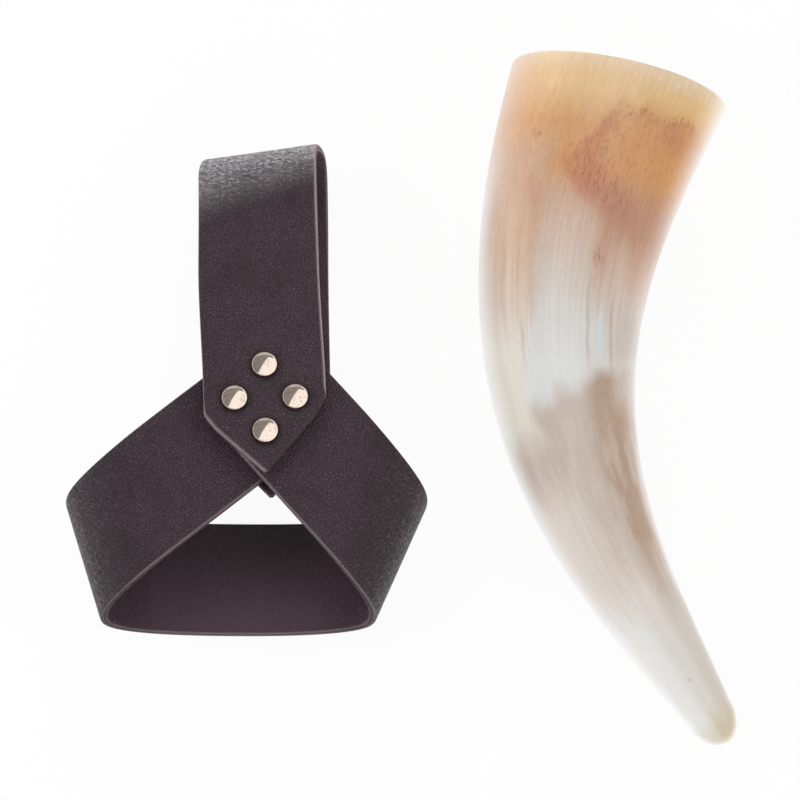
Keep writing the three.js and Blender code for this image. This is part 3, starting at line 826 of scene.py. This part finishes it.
class HolderForm:
    """Where the straps and the rivets of the holder lie, from the rivets in the frame."""

    def __init__(self, holder, rivets):
        self.holder = holder
        self.pitch = holder.leather + holder.layer_gap
        self.front = 1.5 * self.pitch
        self.stack_half = 2 * holder.leather + 1.5 * holder.layer_gap + rivets.seat
        self.roll_cone()
        self.find_stack()
        self.left_edge = self.belt_edge(holder.fold_radius_left, holder.fold_rise_left)
        self.right_edge = self.belt_edge(holder.fold_radius_right, holder.fold_rise_right)

    def roll_cone(self):
        """Rays of the ring's cone, with the angle that they turn through when it is rolled out flat."""
        holder = self.holder
        power = holder.cone_squareness
        half = holder.cone_depth / 2
        flat_share = (1 - (holder.cone_flat / holder.cone_half_width) ** power) ** (1 / power)
        start = math.acos(signed_power(-holder.cone_shift / holder.cone_half_width, power / 2))
        turn = np.linspace(start, start + 2 * math.pi, CONE_STEPS + 1)
        rise = np.where(np.sin(turn) > 0, half / flat_share, half)
        across = holder.cone_shift + holder.cone_half_width * signed_power(np.cos(turn), 2 / power)
        high = half + rise * signed_power(np.sin(turn), 2 / power)
        high = soft_min(high, holder.cone_depth, holder.cone_flat_rounding)
        self.rays = unit(np.stack([across, np.full(len(turn), holder.cone_length), high], axis=1))
        self.angles = summed(2 * np.arcsin(step_lengths(self.rays) / 2))
        ahead = np.roll(self.rays[:-1], -1, axis=0)
        behind = np.roll(self.rays[:-1], 1, axis=0)
        facing = unit(np.cross(behind, ahead))
        self.facing = np.concatenate([facing, facing[:1]])
        self.half_cone = self.angles[-1] / 2
        self.crossing_along = holder.ring_drop * math.tan(self.half_cone)

    def find_stack(self):
        """Axes of the riveted layers, from the rivets in the frame, and the cone's place behind them."""
        holder = self.holder
        caps = {place: node_middle("rivet_cap_" + place) for place in RIVET_PLACES}
        posts = {place: node_middle("rivet_post_" + place) for place in RIVET_PLACES}
        self.normal = unit(sum(caps[place][0] - posts[place][0] for place in RIVET_PLACES))
        left = caps["left"][0] - caps["right"][0]
        self.left = unit(left - self.normal * (left @ self.normal))
        self.up = np.cross(self.left, self.normal)
        middle = sum(caps[place][0] for place in RIVET_PLACES) / len(RIVET_PLACES)
        base = min((caps[place][1] @ self.normal).min() for place in RIVET_PLACES)
        self.origin = middle + self.normal * (base - self.stack_half - middle @ self.normal)

        slope = math.atan2(holder.cone_depth, holder.cone_length)
        across = np.cross(self.normal, self.up)
        up = self.up * math.cos(holder.belt_turn) - across * math.sin(holder.belt_turn)
        self.cone_axes = np.stack([
            np.cross(up, self.normal),
            up * math.cos(slope) - self.normal * math.sin(slope),
            up * math.sin(slope) + self.normal * math.cos(slope),
        ])
        crossing = self.origin - self.left * holder.belt_left_offset + self.up * holder.belt_down_offset
        distance = holder.ring_drop / math.cos(self.half_cone)
        ray = unit(np.array([0, holder.cone_length, holder.cone_depth]))
        self.cone_point = crossing - ray @ self.cone_axes * distance

    def from_stack(self, left, up, out):
        """A point from the middle of the rivets: to the left, up the belt strap and out of the layers."""
        place = left[..., None] * self.left + up[..., None] * self.up + out[..., None] * self.normal
        return self.origin + place

    def on_ring(self, along, across, out):
        """A point of the flat ring strap, carried onto the cone."""
        holder = self.holder
        reach = holder.ring_drop + across
        angle = (np.arctan2(along, reach) + self.half_cone) % self.angles[-1]
        ray, facing = (unit(rows_at(angle, self.angles, rows)) for rows in (self.rays, self.facing))
        layer = self.pitch / 2 * np.clip(along / holder.layer_ramp, -1, 1)
        local = ray * np.hypot(along, reach)[..., None] + facing * (layer + out)[..., None]
        return self.cone_point + local @ self.cone_axes

    def belt_edge(self, radius, rise):
        """One edge of the belt strap seen from its side, as close points and the lengths to them."""
        holder = self.holder
        top = self.front + rise

        def sweep(start, end, ease):
            share = np.linspace(0, 1, PATH_STEPS + 1)[1:, None]
            pull = np.array([math.copysign(ease, end[0] - start[0]), 0])
            first, second = np.array(start) + pull, np.array(end) - pull
            curve = np.array(start) * (1 - share) ** 3 + 3 * first * share * (1 - share) ** 2
            return curve + 3 * second * share ** 2 * (1 - share) + np.array(end) * share ** 3

        def path(reach):
            ease = (reach - holder.stack_reach) / 2
            turn = np.linspace(math.pi / 2, -math.pi / 2, PATH_STEPS + 1)[1:]
            fold = np.stack([reach + radius * np.cos(turn), top - radius + radius * np.sin(turn)], axis=1)
            points = np.concatenate([
                [[-holder.front_overhang, self.front], [holder.stack_reach, self.front]],
                sweep((holder.stack_reach, self.front), (reach, top), ease),
                fold,
                sweep((reach, top - 2 * radius), (holder.stack_reach, -self.front), ease),
                [[-holder.back_overhang, -self.front]],
            ])
            return points, summed(step_lengths(points))

        low, high = holder.stack_reach + radius, holder.belt_length
        while high - low > CLOSE_ENOUGH:
            middle = (low + high) / 2
            if path(middle)[1][-1] > holder.belt_length:
                high = middle
            else:
                low = middle
        return path(low)

    def belt_middle(self, along, across):
        holder = self.holder
        along = np.clip(along, 0, holder.belt_length)
        left, right = (
            rows_at(along * lengths[-1] / holder.belt_length, lengths, points)
            for points, lengths in (self.left_edge, self.right_edge)
        )
        share = across / holder.belt_width + 0.5
        up, out = np.moveaxis(right + (left - right) * share[..., None], -1, 0)
        lean = (out - self.front) * math.tan(holder.loop_roll)
        return self.from_stack(across + lean + self.bow(up, out), up, out)

    def bow(self, up, out):
        """How far the belt strap's front half lies to the left of a straight strap."""
        holder = self.holder
        front = smooth((out + self.front) / (2 * self.front))
        start, end = holder.front_bow_start, holder.front_bow_end
        return holder.front_bow * front * smooth((up - start) / (end - start))

    def on_belt(self, along, across, out):
        """A point of the flat belt strap, carried round its fold."""
        half = np.full_like(across, self.holder.belt_width / 2)
        forward = self.belt_middle(along + PROBE, across) - self.belt_middle(along - PROBE, across)
        sideways = self.belt_middle(along, half) - self.belt_middle(along, -half)
        return self.belt_middle(along, across) + unit(np.cross(forward, sideways)) * out[..., None]


def rivet_spots(rivets):
    """Places of the rivets, to the left and up from their middle."""
    return {
        "top": (0.0, rivets.spread_y / 2),
        "left": (rivets.spread_x / 2, 0.0),
        "right": (-rivets.spread_x / 2, 0.0),
        "bottom": (0.0, -rivets.spread_y / 2),
    }


def strap_rows(start, end):
    """Places along a strap, close together near its ends."""
    first, last = start + EDGE_STEPS[-1], end - EDGE_STEPS[-1]
    between = np.linspace(first, last, int((last - first) / ROW_SPACING) + 1)
    return np.concatenate([start + EDGE_STEPS[:-1], between, end - EDGE_STEPS[-2::-1]])


def strap_columns(width):
    """Shares of a strap's width, close together near its cut edges."""
    edge = EDGE_STEPS / width
    between = np.linspace(edge[-1], 1 - edge[-1], STRAP_COLUMNS)
    return np.concatenate([edge[:-1], between, 1 - edge[-2::-1]])


def belt_cut(holder):
    """The flat belt strap: its right and left edge at each row."""
    along = strap_rows(0, holder.belt_length)
    half = holder.belt_width / 2
    blunt = holder.point_flat / 2
    shoulder = holder.shoulder_rounding

    def half_at(from_end, point):
        return soft_min(blunt + (half - blunt) * from_end / point, half + shoulder / 4, shoulder)

    back = np.minimum(half_at(holder.belt_length - along, holder.back_point), half)
    right = np.minimum(half_at(along, holder.front_point_right), back)
    left = np.minimum(half_at(along, holder.front_point_left), back)
    return np.stack([along, -right], axis=1), np.stack([along, left], axis=1)


def ring_cut(form):
    """The flat ring strap: its two edges at each row, along the cone's rays and to the trimmed ends."""
    holder = form.holder
    half = holder.ring_width / 2
    cone = form.half_cone
    end = form.crossing_along + holder.ring_end
    tuck = holder.belt_width / 2 - holder.ring_end_inset
    trim_start = form.crossing_along + (tuck - half * math.sin(cone)) / math.cos(cone)
    trim_end = (holder.ring_end * math.cos(cone) - tuck) / math.sin(cone)
    last = math.atan2(end, holder.ring_drop + half) - math.atan2(holder.ring_end, holder.ring_drop + half)
    rows = int(2 * last * holder.ring_drop / ROW_SPACING)
    angle = np.linspace(-last, last, rows + 1)
    low = np.stack([(holder.ring_drop - half) * np.tan(angle), np.full(len(angle), -half)], axis=1)
    high = np.stack([(holder.ring_drop + half) * np.tan(angle), np.full(len(angle), half)], axis=1)
    low_corners = np.array([low[-1], (trim_start, -half), (end, trim_end)])
    high_corners = np.array([high[-1], ((high[-1, 0] + end) / 2, half), (end, half)])
    share = (1 - np.cos(np.linspace(0, math.pi, TRIM_ROWS + 1)))[1:, None] / 2

    def with_tails(edge, corners):
        steps = zip(corners, corners[1:])
        tail = np.concatenate([first + (second - first) * share for first, second in steps])
        return np.concatenate([tail[::-1] * (-1, 1), edge, tail])

    return with_tails(low, low_corners), with_tails(high, high_corners)


def rounding(distance, reach, depth):
    """How far a rounded edge lies under its face at a distance from the cut."""
    share = np.clip(1 - distance / reach, 0, 1)
    return depth * (1 - np.sqrt(1 - share * share))


def wrinkles(along, across):
    """Cross wrinkles from 0 to 1: short uneven lines that run from edge to edge of a bent strap."""
    u, v = along / MM, across / MM
    drift = 0.9 * np.sin(v / 3.1 + u / 9) + 0.6 * np.sin(v / 1.4 - u / 5 + 1.7)
    drift = drift + 0.4 * np.sin(v / 0.8 + 0.6)
    lines = np.sin((u + drift) * 3.1) + 0.8 * np.sin((u - 0.7 * drift) * 4.7 + 0.5 * np.sin(v / 2.3))
    gaps = 0.55 + 0.45 * np.sin(v / 2.7 + u / 1.9 + 1.1 * np.sin(u / 3.3))
    return np.clip(0.5 + 0.28 * lines * gaps, 0, 1)


def belt_bareness_and_shade(holder, cut):
    """Share and reach of the bare fibres at each row of the belt strap: right edge, then left edge. The small
    share on the right point and on the back half is painted shade on edges that lie in shadow.
    """
    along = cut[0][:, 0]
    front = 1 - smooth((along - holder.belt_length / 2) / FRONT_FADE)
    # Painted shade: the right point's edge and the back half's edges keep little bare colour
    loop = front * smooth((along - holder.front_point_right) / POINT_FADE)
    point = 1 - smooth((along - holder.front_point_left) / POINT_FADE)
    return (0.2 + 0.8 * loop, (0.1 + 0.9 * loop) * MM), (0.25 + 0.4 * front, (0.35 + 0.9 * point) * MM)


def ring_bareness(cut):
    """Share and reach of the bare fibres at each row of the ring strap: inner edge, then outer edge."""
    arm = smooth((np.abs(cut[0][:, 0]) - ARM_START) / ARM_FADE)
    plain = np.ones_like(arm)
    return (0.5 * plain, (0.15 + 0.65 * arm) * MM), (0.25 * plain, 0.1 * MM * plain)


def build_strap(name, cut, carry, holder, press, bareness, fading, tails, finish):
    """A strap of leather from its flat cut: rounded grain edges, bare cut walls and a flesh side."""
    low, high = cut
    share = strap_columns(holder.belt_width)
    spot = low[:, None] + (high - low)[:, None] * share[:, None]
    along, across = spot[..., 0], spot[..., 1]
    slant = [1 / np.hypot(1, np.gradient(edge[:, 1], edge[:, 0])) for edge in (low, high)]
    height = (high - low)[:, 1]
    middle_along = (low + high)[:, 0] / 2
    from_end = np.minimum(middle_along - middle_along[0], middle_along[-1] - middle_along)
    from_low = share * (height * slant[0])[:, None]
    from_high = (1 - share) * (height * slant[1])[:, None]
    distance = np.minimum(np.minimum(from_low, from_high), from_end[:, None])

    # How sharply the strap bends at each row, as a share of a full bend
    centre = carry(middle_along, np.zeros(len(low)), np.zeros(len(low)))
    ahead = unit(np.diff(centre, axis=0))
    turn = step_lengths(ahead) / step_lengths(centre)[1:] * FULL_BEND
    turn = np.convolve(np.pad(turn, 1, mode="edge"), np.ones(BEND_ROWS) / BEND_ROWS, mode="same")
    spread = np.hanning(2 * BEND_SPREAD + 1)
    turn = np.maximum(turn, np.convolve(turn, spread / spread.sum(), mode="same"))
    bend = np.repeat(np.clip(turn, 0, 1)[:, None], len(share), axis=1)
    bend = bend * smooth(from_end / END_FADE)[:, None]
    bend = bend ** np.interp(share, (0, 1), tails)

    half = holder.leather / 2 - holder.skin_inset
    valley = smooth(bend * WRINKLE_GAIN) * wrinkles(along, across)
    pressed, shade = press(along, across)
    edge_drop = rounding(distance, holder.edge_rounding, holder.edge_depth)
    grain = half - edge_drop - holder.wrinkle_depth * valley - pressed
    flesh = rounding(distance, holder.edge_rounding / 2, holder.edge_depth / 2) - half

    index = np.arange(spot.shape[0] * spot.shape[1]).reshape(spot.shape[:2])
    loop = np.concatenate([index[0], index[1:, -1], index[-1, -2::-1], index[-2:0:-1, 0]])
    down = np.linspace(0, 1, WALL_ROWS + 1)[1:-1, None]
    wall_out = grain.ravel()[loop] * (1 - down) + flesh.ravel()[loop] * down

    def on_wall(field):
        return np.tile(field.ravel()[loop], (WALL_ROWS - 1, 1))

    def everywhere(field):
        return np.concatenate([field.ravel(), field.ravel(), on_wall(field).ravel()])

    points = np.concatenate([
        carry(along, across, grain).reshape(-1, 3),
        carry(along, across, flesh).reshape(-1, 3),
        carry(on_wall(along), on_wall(across), wall_out).reshape(-1, 3),
    ])
    walls = 2 * index.size + np.arange((WALL_ROWS - 1) * len(loop)).reshape(WALL_ROWS - 1, -1)
    chain = closed(np.concatenate([[loop], walls, [loop + index.size]]))
    faces = [grid_faces(index), grid_faces(index)[:, ::-1] + index.size, grid_faces(chain.T)[:, ::-1]]

    through = np.tile(1 - 2 * down, (1, len(loop)))
    side = np.concatenate([np.ones(index.size), -np.ones(index.size), through.ravel()])
    (low_share, low_reach), (high_share, high_reach) = np.array(bareness)[..., None]
    low_bare = low_share * (1 - smooth(from_low / low_reach))
    high_bare = high_share * (1 - smooth(from_high / high_reach))
    grain_bare = np.maximum(low_bare, high_bare)
    wall_bare = low_share * (1 - share) + high_share * share
    flesh_bare = FLESH_BARE * (1 - smooth(distance / FLESH_REACH))
    values = {
        "cut": np.concatenate([field.ravel() for field in (grain_bare, flesh_bare, on_wall(wall_bare))]),
        "through": side,
        "bend": everywhere(bend),
        # Painted sheen on the bends, as well as paler stretched grain
        "pale": everywhere(fading * smooth((bend - PALE_SHEEN_START) / PALE_SHEEN_RANGE)),
        "valley": everywhere(valley),
        "shade": everywhere(shade),
    }
    flat = np.stack([everywhere(along), everywhere(across), SIDE_SHIFT * side], axis=1) / MM
    return make_piece(name, points, faces, finish, values, {"strap_place": flat})


def rivet_press(form, rivets):
    """Hollows that the rivet heads press into the outer faces of the belt strap, and a ring of painted shade
    round each head.
    """
    holder = form.holder
    lean = -2 * form.front * math.tan(holder.loop_roll)

    def press(along, across):
        total = np.zeros_like(along)
        shade = np.zeros_like(along)
        for left, up in rivet_spots(rivets).values():
            bow = form.bow(up, form.front)
            front = np.hypot(along - holder.front_overhang - up, across - left + bow)
            back = np.hypot(along - holder.belt_length + holder.back_overhang + up, across - left + lean)
            for distance in (front, back):
                total = total + holder.press_depth * np.exp(-(distance / holder.press_reach) ** 4)
                # Painted shade in a ring just outside each head
                outside = np.maximum(distance - rivets.head / 2, 0)
                shade = shade + np.exp(-(outside / holder.shade_reach) ** 2)
        return np.minimum(total, holder.press_depth), np.minimum(shade, 1)

    return press


def no_press(along, across):
    return np.zeros_like(along), np.zeros_like(along)


def grained_leather(holder):
    """Dark dyed leather: fine pebbles, wrinkles at the bends, and bare pale fibres on the cut edges, with
    painted sheen on the bends and painted shade in the wrinkles, round the rivet heads and across the flesh
    side.
    """
    f = new_finish("grained leather")
    place = f.attribute("strap_place", "Vector")
    names = ("cut", "through", "bend", "pale", "valley", "shade")
    cut, through, bend, pale, valley, shade = (f.attribute(name) for name in names)
    wobble = (f.noise(place, 0.6, 2.0) - 0.5) * 0.9
    shift = f.tone("ShaderNodeCombineXYZ", {}, {0: wobble, 1: wobble, 2: 0.0})
    wavy = f.tone("ShaderNodeVectorMath", {"operation": "ADD"}, {0: place, 1: shift})
    pebbles = f.cells(wavy, 1.05).over(0.0, 0.30)
    fine = f.noise(place, 1.9, 3.0, 0.6)
    clouds = f.noise(place, 0.07, 2.0)
    pores = f.noise(place, 1.1, 4.0, 0.7).over(0.30, 0.42)
    creases = f.noise(f.stretch(wavy, 1.5, 0.42, 1.0), 1.0, 2.0)
    creases = (1 - (abs(creases - 0.5) * 9).over(0.0, 1.0)) * bend.over(0.0, 0.40)
    grain = f.layers(paint(holder.hide), holder, (
        (0.1 + 0.9 * pebbles * fine.over(0.3, 0.7), "hide_worn"),
        ((1 - pores) * 0.5 + (1 - pebbles) * 0.4, "hide_deep"),
        (clouds.over(0.45, 0.7) * 0.35, "hide_deep"),
        # Painted sheen on the bends, with paler stretched grain
        (pale * (0.7 + 0.6 * fine), "faded"),
        # Painted shade in the wrinkles and creases of the bends
        (valley.over(0.3, 0.9) * 0.4 + creases * 0.5, "hide_deep"),
        # Painted shade round the rivet heads
        (shade * 0.75, "hide_deep"),
    ))
    # Painted shadow of the ring's arms: the flesh side darkens across its width
    width = f.parts(place)[1]
    shadowed_flesh = f.layers(paint(holder.flesh), holder, [(width.over(-16, 19) * 0.8, "hide_deep")])
    inner = 1 - through.over(-0.95, -0.9)
    fibre = f.noise(f.stretch(place, 0.5, 0.5, 0.3), 3.0, 3.0, 0.65)
    seam = abs(through) * (0.8 + 0.4 * fibre)
    bare = f.layers(paint(holder.cut), holder, (
        (1 - seam.over(0.15, 0.45), "cut_line"),
        (fibre.over(0.5, 0.75) * 0.4, "cut_line"),
    ))
    height = pebbles * 0.6 + fine * 0.6 - creases * 1.5
    return f.surface(f.tone("ShaderNodeBsdfPrincipled", {}, {
        "Base Color": f.mix(cut, f.mix(inner * 0.8, grain, shadowed_flesh), bare),
        "Roughness": 0.38 + 0.14 * fine + 0.2 * cut + 0.1 * inner,
        "IOR": 1.4,
        "Normal": f.bump(height * (1 - cut) + fibre * cut, 0.9, 0.0003),
    }))


def polished_nickel(rivets):
    """Nickel plate, a little warm, with faint handling marks."""
    f = new_finish("polished nickel")
    texture = f.add("ShaderNodeTexCoord", {}, {})
    place = Tone(f, texture.outputs["Object"])
    smudge = f.noise(place, 900.0, 3.0)
    return f.surface(f.tone("ShaderNodeBsdfPrincipled", {}, {
        "Base Color": f.layers(paint(rivets.nickel), rivets, [(smudge.over(0.45, 0.7) * 0.6, "tarnish")]),
        "Metallic": 1.0,
        "Roughness": 0.06 + 0.07 * smudge,
    }))


def dome(rivets, base, direction):
    """Outline of a rivet head from its middle to the underside of its rolled rim."""
    roll = rivets.rim_roll
    reach = rivets.head / 2 - roll
    ball = reach / math.sin(rivets.dome_angle)
    turn = np.linspace(0, rivets.dome_angle, DOME_ROWS + 1)
    across = ball * np.sin(turn)
    lift = 2 * roll + ball * (np.cos(turn) - math.cos(rivets.dome_angle))
    turn = np.linspace(math.pi / 2, -math.pi / 2, ROLL_ROWS + 1)[1:]
    bowl = list(zip(across, lift))
    rim = list(zip(reach + roll * np.cos(turn), roll + roll * np.sin(turn)))
    return [(radius, base + direction * height) for radius, height in bowl + rim]


def cap_outline(form, rivets):
    base = form.stack_half - rivets.sink
    socket = rivets.post / 2 + rivets.clearance
    depth = form.stack_half + rivets.engagement + rivets.clearance
    inside = [(socket, base), (socket, depth), (0.0, depth)]
    return dome(rivets, base, 1) + inside


def post_outline(form, rivets):
    base = -form.stack_half + rivets.sink
    end = form.stack_half + rivets.engagement
    tube = [
        (rivets.post / 2, base), (rivets.post / 2, end), (rivets.bore / 2, end),
        (rivets.bore / 2, -form.stack_half), (0.0, -form.stack_half),
    ]
    return dome(rivets, base, -1) + tube


def build_rivet(label, outline, spot, form, finish):
    points, faces = turned(outline, RIVET_SIDES)
    left, up = spot
    placed = form.from_stack(points[:, 0] + left, points[:, 1] + up, points[:, 2])
    return make_piece(label, placed, faces, finish, {}, {})


def settle(piece, body, slot, *nodes):
    """The piece stands for its CAD nodes, which are hidden, and moves with their body."""
    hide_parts(*nodes)
    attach(piece, body)


# The stage

def aimed(place):
    """Turn of a lamp or card at this place that looks at the middle of the set."""
    x, y, z = place
    return math.atan2(math.hypot(x, y), z), 0, math.atan2(x, -y)


def soft_box(name, place, size, watts):
    """A square area lamp that looks at the middle of the set. Polished faces don't mirror it."""
    lamp = bpy.data.lights.new(name, "AREA")
    lamp.size = size
    lamp.energy = watts
    lit = put_in_scene(name, lamp)
    lit.location = place
    lit.rotation_euler = aimed(place)
    lit.visible_glossy = False


def white_card(name, place, size, strength, spin):
    """A square card that is seen only in polished faces."""
    f = new_finish(name)
    half_diagonal = size * math.sqrt(0.5)
    turns = spin + math.pi / 4 + around_axis(4)
    corners = [(half_diagonal * math.cos(turn), half_diagonal * math.sin(turn), 0) for turn in turns]
    glow = f.tone("ShaderNodeEmission", {}, {"Color": WHITE, "Strength": strength})
    card = put_mesh(name, corners, [(0, 1, 2, 3)], f.surface(glow))
    card.location = place
    card.rotation_euler = aimed(place)
    for rays in ("camera", "diffuse", "shadow", "transmission"):
        setattr(card, "visible_" + rays, False)
    return card


def white_sweep(stage):
    """Table and wall of the white sweep: white to the camera and in reflections, and it keeps shadows."""
    f = new_finish("white sweep")
    path = f.add("ShaderNodeLightPath", {}, {})
    rays = ("Is Camera Ray", "Is Glossy Ray", "Is Transmission Ray")
    camera, glossy, through = (Tone(f, path.outputs[name]) for name in rays)
    shown = camera.largest(glossy).largest(through)
    paper = f.tone("ShaderNodeBsdfDiffuse", {}, {"Color": paint(stage.table)})
    glow = f.tone("ShaderNodeEmission", {}, {"Color": WHITE, "Strength": 1.0})
    return f.surface(f.tone("ShaderNodeMixShader", {}, {0: shown * (1 - stage.shadow), 1: paper, 2: glow}))


def build_sweep(stage):
    """A round table whose rim curves up into a wall."""
    table, curve = stage.table_radius, stage.sweep_radius
    outline = [(table * share, 0.0) for share in TABLE_RINGS]
    outline += [
        (table + curve * math.sin(turn), curve * (1 - math.cos(turn)))
        for turn in np.linspace(0, math.pi / 2, SWEEP_ROWS + 1)
    ]
    outline.append((table + curve, stage.wall_height))
    points = turned_rows(outline, SWEEP_SIDES)
    index = np.arange(len(points)).reshape(len(outline), SWEEP_SIDES)
    faces = grid_faces(closed(index)).tolist() + [index[0].tolist()]
    return put_mesh("white_sweep", points.tolist(), faces, white_sweep(stage))


class DRINKINGHORN_OT_stage(bpy.types.Operator):
    """Set the camera, the soft boxes and the white sweep"""

    bl_idname = "drinking_horn.stage"
    bl_label = "Stage"

    def execute(self, context):
        stage = context.scene.horn_stage
        scene = context.scene
        scene.view_settings.view_transform = "Standard"
        build_sweep(stage)

        lens = bpy.data.cameras.new("table_camera")
        lens.sensor_width = 36.0
        lens.lens = lens.sensor_width * stage.distance / stage.picture_width
        lens.clip_start = 0.05
        camera = put_in_scene("table_camera", lens)
        back = stage.distance * math.cos(stage.elevation)
        camera.location = (0, -back, stage.target_height + stage.distance * math.sin(stage.elevation))
        camera.rotation_euler = (math.pi / 2 - stage.elevation, 0, 0)
        scene.camera = camera

        for name, (place, size) in SOFT_BOXES.items():
            soft_box(name, place, size, getattr(stage, name))
        white_card("rivet_card", CARD_PLACE, CARD_SIZE, stage.card, stage.card_spin)

        room = Finish(bpy.data.worlds.new("room"), "ShaderNodeOutputWorld")
        light = room.tone("ShaderNodeBackground", {}, {"Color": WHITE, "Strength": stage.room})
        scene.world = room.surface(light)
        return {"FINISHED"}


class DRINKINGHORN_OT_horn(bpy.types.Operator):
    """Build the polished horn with its rim and its hollow"""

    bl_idname = "drinking_horn.horn"
    bl_label = "Horn"

    def execute(self, context):
        settle(build_horn(context.scene.drinking_horn), "horn", "horn", "horn_body")
        return {"FINISHED"}


class DRINKINGHORN_OT_straps(bpy.types.Operator):
    """Build the ring strap and the folded belt strap"""

    bl_idname = "drinking_horn.straps"
    bl_label = "Straps"

    def execute(self, context):
        holder = context.scene.horn_holder
        rivets = context.scene.horn_rivets
        form = HolderForm(holder, rivets)
        finish = grained_leather(holder)
        cut = ring_cut(form)
        ring = build_strap(
            "leather_ring_strap", cut, form.on_ring, holder, no_press, ring_bareness(cut),
            holder.ring_fading_and_sheen, (1, 1), finish,
        )
        settle(ring, "holder", "leather", "ring_strap")
        cut = belt_cut(holder)
        press = rivet_press(form, rivets)
        belt = build_strap(
            "leather_belt_strap", cut, form.on_belt, holder, press, belt_bareness_and_shade(holder, cut),
            holder.belt_fading_and_sheen, (holder.fold_tail_right, holder.fold_tail_left), finish,
        )
        settle(belt, "holder", "leather", "belt_strap")
        return {"FINISHED"}


class DRINKINGHORN_OT_rivets(bpy.types.Operator):
    """Build the four double cap rivets, each a cap and a post"""

    bl_idname = "drinking_horn.rivets"
    bl_label = "Rivets"

    def execute(self, context):
        rivets = context.scene.horn_rivets
        form = HolderForm(context.scene.horn_holder, rivets)
        finish = polished_nickel(rivets)
        for place, spot in rivet_spots(rivets).items():
            cap = build_rivet("nickel_cap_" + place, cap_outline(form, rivets), spot, form, finish)
            settle(cap, "holder", "rivet", "rivet_cap_" + place)
            post = build_rivet("nickel_post_" + place, post_outline(form, rivets), spot, form, finish)
            settle(post, "holder", "rivet", "rivet_post_" + place)
        return {"FINISHED"}


class DRINKINGHORN_PT_panel(bpy.types.Panel):
    """Lists the steps and the settings of the horn and its holder"""

    bl_idname = "DRINKINGHORN_PT_panel"
    bl_label = "Drinking horn"
    bl_space_type = "VIEW_3D"
    bl_region_type = "UI"
    bl_category = "Horn"

    def draw(self, context):
        groups = (
            (DRINKINGHORN_OT_stage, context.scene.horn_stage),
            (DRINKINGHORN_OT_horn, context.scene.drinking_horn),
            (DRINKINGHORN_OT_straps, context.scene.horn_holder),
            (DRINKINGHORN_OT_rivets, context.scene.horn_rivets),
        )
        for step, settings in groups:
            box = self.layout.box()
            box.operator(step.bl_idname)
            for name in settings.__annotations__:
                box.prop(settings, name, text=name.replace("_", " ").capitalize())


SETTINGS = {
    "drinking_horn": HornSettings,
    "horn_holder": HolderSettings,
    "horn_rivets": RivetSettings,
    "horn_stage": StageSettings,
}
CLASSES = (
    *SETTINGS.values(),
    DRINKINGHORN_OT_stage, DRINKINGHORN_OT_horn, DRINKINGHORN_OT_straps, DRINKINGHORN_OT_rivets,
    DRINKINGHORN_PT_panel,
)


def register():
    for kind in CLASSES:
        bpy.utils.register_class(kind)
    for name, kind in SETTINGS.items():
        setattr(bpy.types.Scene, name, bpy.props.PointerProperty(type=kind))


def unregister():
    for name in SETTINGS:
        delattr(bpy.types.Scene, name)
    for kind in reversed(CLASSES):
        bpy.utils.unregister_class(kind)


def main():
    register()
    bpy.ops.drinking_horn.stage()
    bpy.ops.drinking_horn.horn()
    bpy.ops.drinking_horn.straps()
    bpy.ops.drinking_horn.rivets()


if __name__ == "__main__":
    main()
